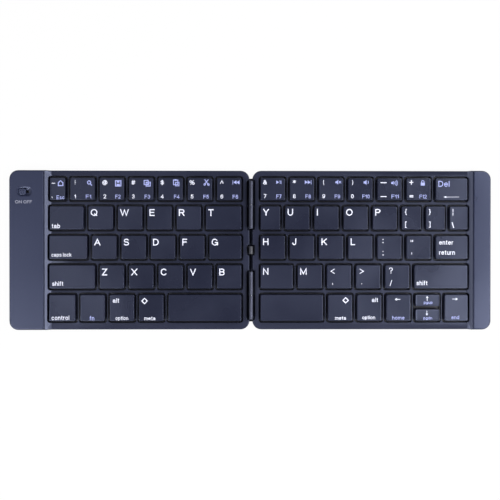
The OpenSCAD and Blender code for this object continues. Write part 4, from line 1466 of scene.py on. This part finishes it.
@dataclass
class Ribbon:
    """The ribbon cable that arches over the hinge line and bends as the halves fold.

    Attributes:
        width: Its width.
        thickness: Its thickness.
        arch: The radius of the arch's middle line.
        reach: How far its ends reach from the hinge line.
        lying: The height of its underside where it lies on the bed.
        straight: Two more places along the lying part, from the hinge line.
        bend: The radius where it turns up from the bed.
    """

    width: float = 4.6
    thickness: float = 0.15
    arch: float = 1.15
    reach: float = 7.4
    lying: float = 2.32
    straight: tuple[float, float] = (5.5, 3.6)
    bend: float = 0.5

    def middle_line(self, hub: float) -> Line:
        """Gives the ribbon's middle line from the left half to the right half, as x and z.

        Args:
            hub: The height of the arch's centre.
        """
        foot = self.lying + self.thickness / 2
        outside = self.arch + self.bend
        bent = foot + self.bend
        half = line(*((-x, foot) for x in (self.reach, *self.straight)))
        half += arc(-outside, bent, self.bend, -90, 0, 7)
        half += [Vector((-self.arch, bent + (hub - bent) * step / 8)) for step in range(1, 8)]
        crown = arc(0, hub, self.arch, 180, 0, 25)
        return half + crown + [Vector((-p.x, p.y)) for p in reversed(half)]

    def build(self, palette: Palette) -> bpy.types.Object:
        """Makes the ribbon.

        Args:
            palette: The materials.

        Returns:
            The piece, which bends between the halves.
        """
        fold = next(joint for joint in frame["joints"] if joint["name"] == "fold")
        axis_z = fold["pos_m"][2] / MM
        middle = self.middle_line(axis_z - self.arch)
        half_t, edge = self.thickness / 2, self.width / 2
        over, below = offset(middle, half_t, False), offset(middle, -half_t, False)
        rings = []
        for up, down in zip(over, below, strict=True):
            section = ((down, -edge), (down, edge), (up, edge), (up, -edge))
            rings.append([Vector((p.x, y, p.y)) for p, y in section])
        shape = Shape()
        shape.stack(rings)
        piece = shape.piece("flex_ribbon", [palette.slots["flex_ribbon"]])
        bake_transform(piece)
        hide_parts("flex_cable")
        return piece


@dataclass
class SwitchLabels:
    """The words in front of the power switch.

    Attributes:
        height: The height of a capital.
        gap: From the knob to the words.
        proud: How far the ink stands above the bar.
        sunk: How far it reaches into it.
        words: Each word, with its left edge from the knob's and its width.
    """

    height: float = 1.9
    gap: float = 3.4
    proud: float = 0.012
    sunk: float = 0.05
    words: tuple[tuple[str, float, float], ...] = (("ON", -2.1, 4.1), ("OFF", 3.0, 5.2))

    def build(self, palette: Palette, case: TypeCase) -> bpy.types.Object:
        """Prints ON and OFF below the two ends of the switch's travel.

        Args:
            palette: The materials.
            case: The words.

        Returns:
            The piece, which rides on the left half.
        """
        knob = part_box("power_switch_knob")[0] / MM
        bar_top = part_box("left_bar_cover")[1].z / MM
        base = knob.y - self.gap - self.height
        shape = Shape()
        for word, left, width in self.words:
            solid = case.get(word)
            stretch = width / solid.high.x
            points = []
            for p in solid.points:
                height = bar_top + (self.proud if p.z > 0 else -self.sunk)
                points.append(Vector((knob.x + left + p.x * stretch, base + p.y * self.height, height)))
            shape.add(points, solid.faces)
        piece = shape.piece("switch_words", [palette.grey])
        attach(piece, "left_half")
        return piece


# ---- Studio, in metres ----


@dataclass(frozen=True)
class Softbox:
    """A large soft lamp.

    Attributes:
        name: Its name.
        bearing: The way to it over the table, in degrees from +X towards +Y.
        tilt: Its angle from the vertical over the keyboard, in degrees.
        distance: How far it is from the keyboard.
        size: The length of its sides.
        glow: Its brightness, where 1 is a white surface in plain light.
    """

    name: str
    bearing: float
    tilt: float
    distance: float
    size: tuple[float, float]
    glow: float

    def hang(self) -> bpy.types.Object:
        """Places the lamp, facing the keyboard."""
        light = bpy.data.lights.new(self.name, "AREA")
        light.shape = "RECTANGLE"
        light.size, light.size_y = self.size
        light.energy = self.glow * math.pi * self.size[0] * self.size[1]
        lamp = linked(self.name, light)
        bearing, tilt = math.radians(self.bearing), math.radians(self.tilt)
        way = Vector((math.sin(tilt) * math.cos(bearing), math.sin(tilt) * math.sin(bearing), math.cos(tilt)))
        lamp.location = way * self.distance
        lamp.rotation_euler = way.to_track_quat("Z", "Y").to_euler()
        return lamp


@dataclass
class Studio:
    """A white sweep, soft lamps and a camera almost straight above the open keyboard.

    Attributes:
        stand: The place of the lens.
        tilt: How far the camera leans from straight down, about X, Y and Z, in degrees.
        lens: The focal length in millimetres.
        surround: The grey of the room.
        white: How much of the floor is plain white to the camera and to reflections.
        floor_half: Half the length of the floor.
        drop: How far the floor lies below the feet.
        wall_radius: The radius of the wall behind everything.
        wall_height: Its height.
        softboxes: The lamps.
    """

    stand: tuple[float, float, float] = (-0.0073, 0.003, 0.5)
    tilt: tuple[float, float, float] = (-0.338, -0.780, 0.02)
    lens: float = 57.7
    surround: float = 0.15
    white: float = 0.97
    floor_half: float = 6.0
    drop: float = 0.00002
    wall_radius: float = 4.0
    wall_height: float = 1.8
    softboxes: tuple[Softbox, ...] = (
        Softbox("front_right_softbox", bearing=-26, tilt=40, distance=0.8, size=(0.32, 0.32), glow=13.0),
        Softbox("right_softbox", bearing=28, tilt=40, distance=0.8, size=(0.32, 0.32), glow=7.4),
        Softbox("front_left_softbox", bearing=218, tilt=40, distance=0.85, size=(0.32, 0.32), glow=14.0),
        Softbox("left_softbox", bearing=165, tilt=28, distance=0.85, size=(0.32, 0.32), glow=1.1),
        Softbox("low_right_softbox", bearing=0, tilt=74, distance=0.9, size=(0.35, 0.7), glow=2.2),
    )

    def place_camera(self) -> bpy.types.Object:
        """Places the camera and makes it the scene's."""
        data = bpy.data.cameras.new("camera")
        data.lens = self.lens
        data.clip_start, data.clip_end = 0.01, 50.0
        camera = linked("camera", data)
        camera.location = self.stand
        camera.rotation_euler = [math.radians(angle) for angle in self.tilt]
        bpy.context.scene.camera = camera
        return camera

    def white_sweep(self) -> bpy.types.Material:
        """Makes a pale surface that is white to the camera and in reflections but keeps shadows."""
        material = bpy.data.materials.new("white_sweep")
        material.use_nodes = True
        tree = Tree(material.node_tree)
        shader = material.node_tree.nodes["Principled BSDF"]
        paper = tree.mix(tree.noise(1 / 3), (0.80, 0.80, 0.81), (0.84, 0.84, 0.85))
        tree.tree.links.new(paper, shader.inputs["Base Color"])
        shader.inputs["Roughness"].default_value = 0.9
        shader.inputs["Specular IOR Level"].default_value = 0.1
        rays = tree.add("ShaderNodeLightPath").outputs
        seen = tree.math("MAXIMUM", rays["Is Camera Ray"],
                         tree.math("MAXIMUM", rays["Is Glossy Ray"], rays["Is Transmission Ray"]))
        glow = tree.add("ShaderNodeEmission", {"Color": (1, 1, 1, 1), "Strength": 1.0})
        mixed = tree.add("ShaderNodeMixShader", {0: tree.math("MULTIPLY", seen, self.white),
                                                 1: shader.outputs[0], 2: glow.outputs[0]})
        tree.tree.links.new(mixed.outputs[0], material.node_tree.nodes["Material Output"].inputs["Surface"])
        return material

    def build_sweep(self) -> list[bpy.types.Object]:
        """Lays the floor and stands the wall round it."""
        half, material = self.floor_half / MM, self.white_sweep()
        floor, wall = Shape(), Shape()
        floor.add(level(frame_line(-half, -half, half, half), -self.drop / MM), [[0, 1, 2, 3]])
        around = arc(0, 0, self.wall_radius / MM, 0, 360, 64)
        n = len(around)
        wall.add(level(around, -1.0) + level(around, self.wall_height / MM),
                 [[(i + 1) % n, i, n + i, n + (i + 1) % n] for i in range(n)])
        made = [floor.piece("floor", [material]), wall.piece("backdrop", [material])]
        return made

    def light(self) -> None:
        """Hangs the lamps and sets the room's grey."""
        world = bpy.data.worlds.new("room")
        world.use_nodes = True
        world.node_tree.nodes["Background"].inputs["Color"].default_value = (*(self.surround,) * 3, 1.0)
        bpy.context.scene.world = world
        bpy.context.scene.view_settings.view_transform = "Standard"
        for softbox in self.softboxes:
            softbox.hang()


def main() -> None:
    """Builds the studio and every piece in order."""
    logging.basicConfig(level=logging.INFO, format="%(message)s")
    studio = Studio()
    studio.place_camera()
    palette = Palette()
    LOG.info("%d CAD nodes dressed", palette.dress_nodes())
    for shell in shells():
        LOG.info("%s: %d faces", shell.node, len(shell.build(palette).data.polygons))
    case = TypeCase()
    for node in LEGENDS:
        LOG.info("%s: %d faces", node, len(Keycaps(node).build(palette, case).data.polygons))
    for side in SIDES:
        LOG.info("%s half: %d lifters", side, Lifters(side).build(palette))
    LOG.info("%s done", Ribbon().build(palette).name)
    LOG.info("%s done", SwitchLabels().build(palette, case).name)
    studio.build_sweep()
    studio.light()


if __name__ == "__main__":
    main()
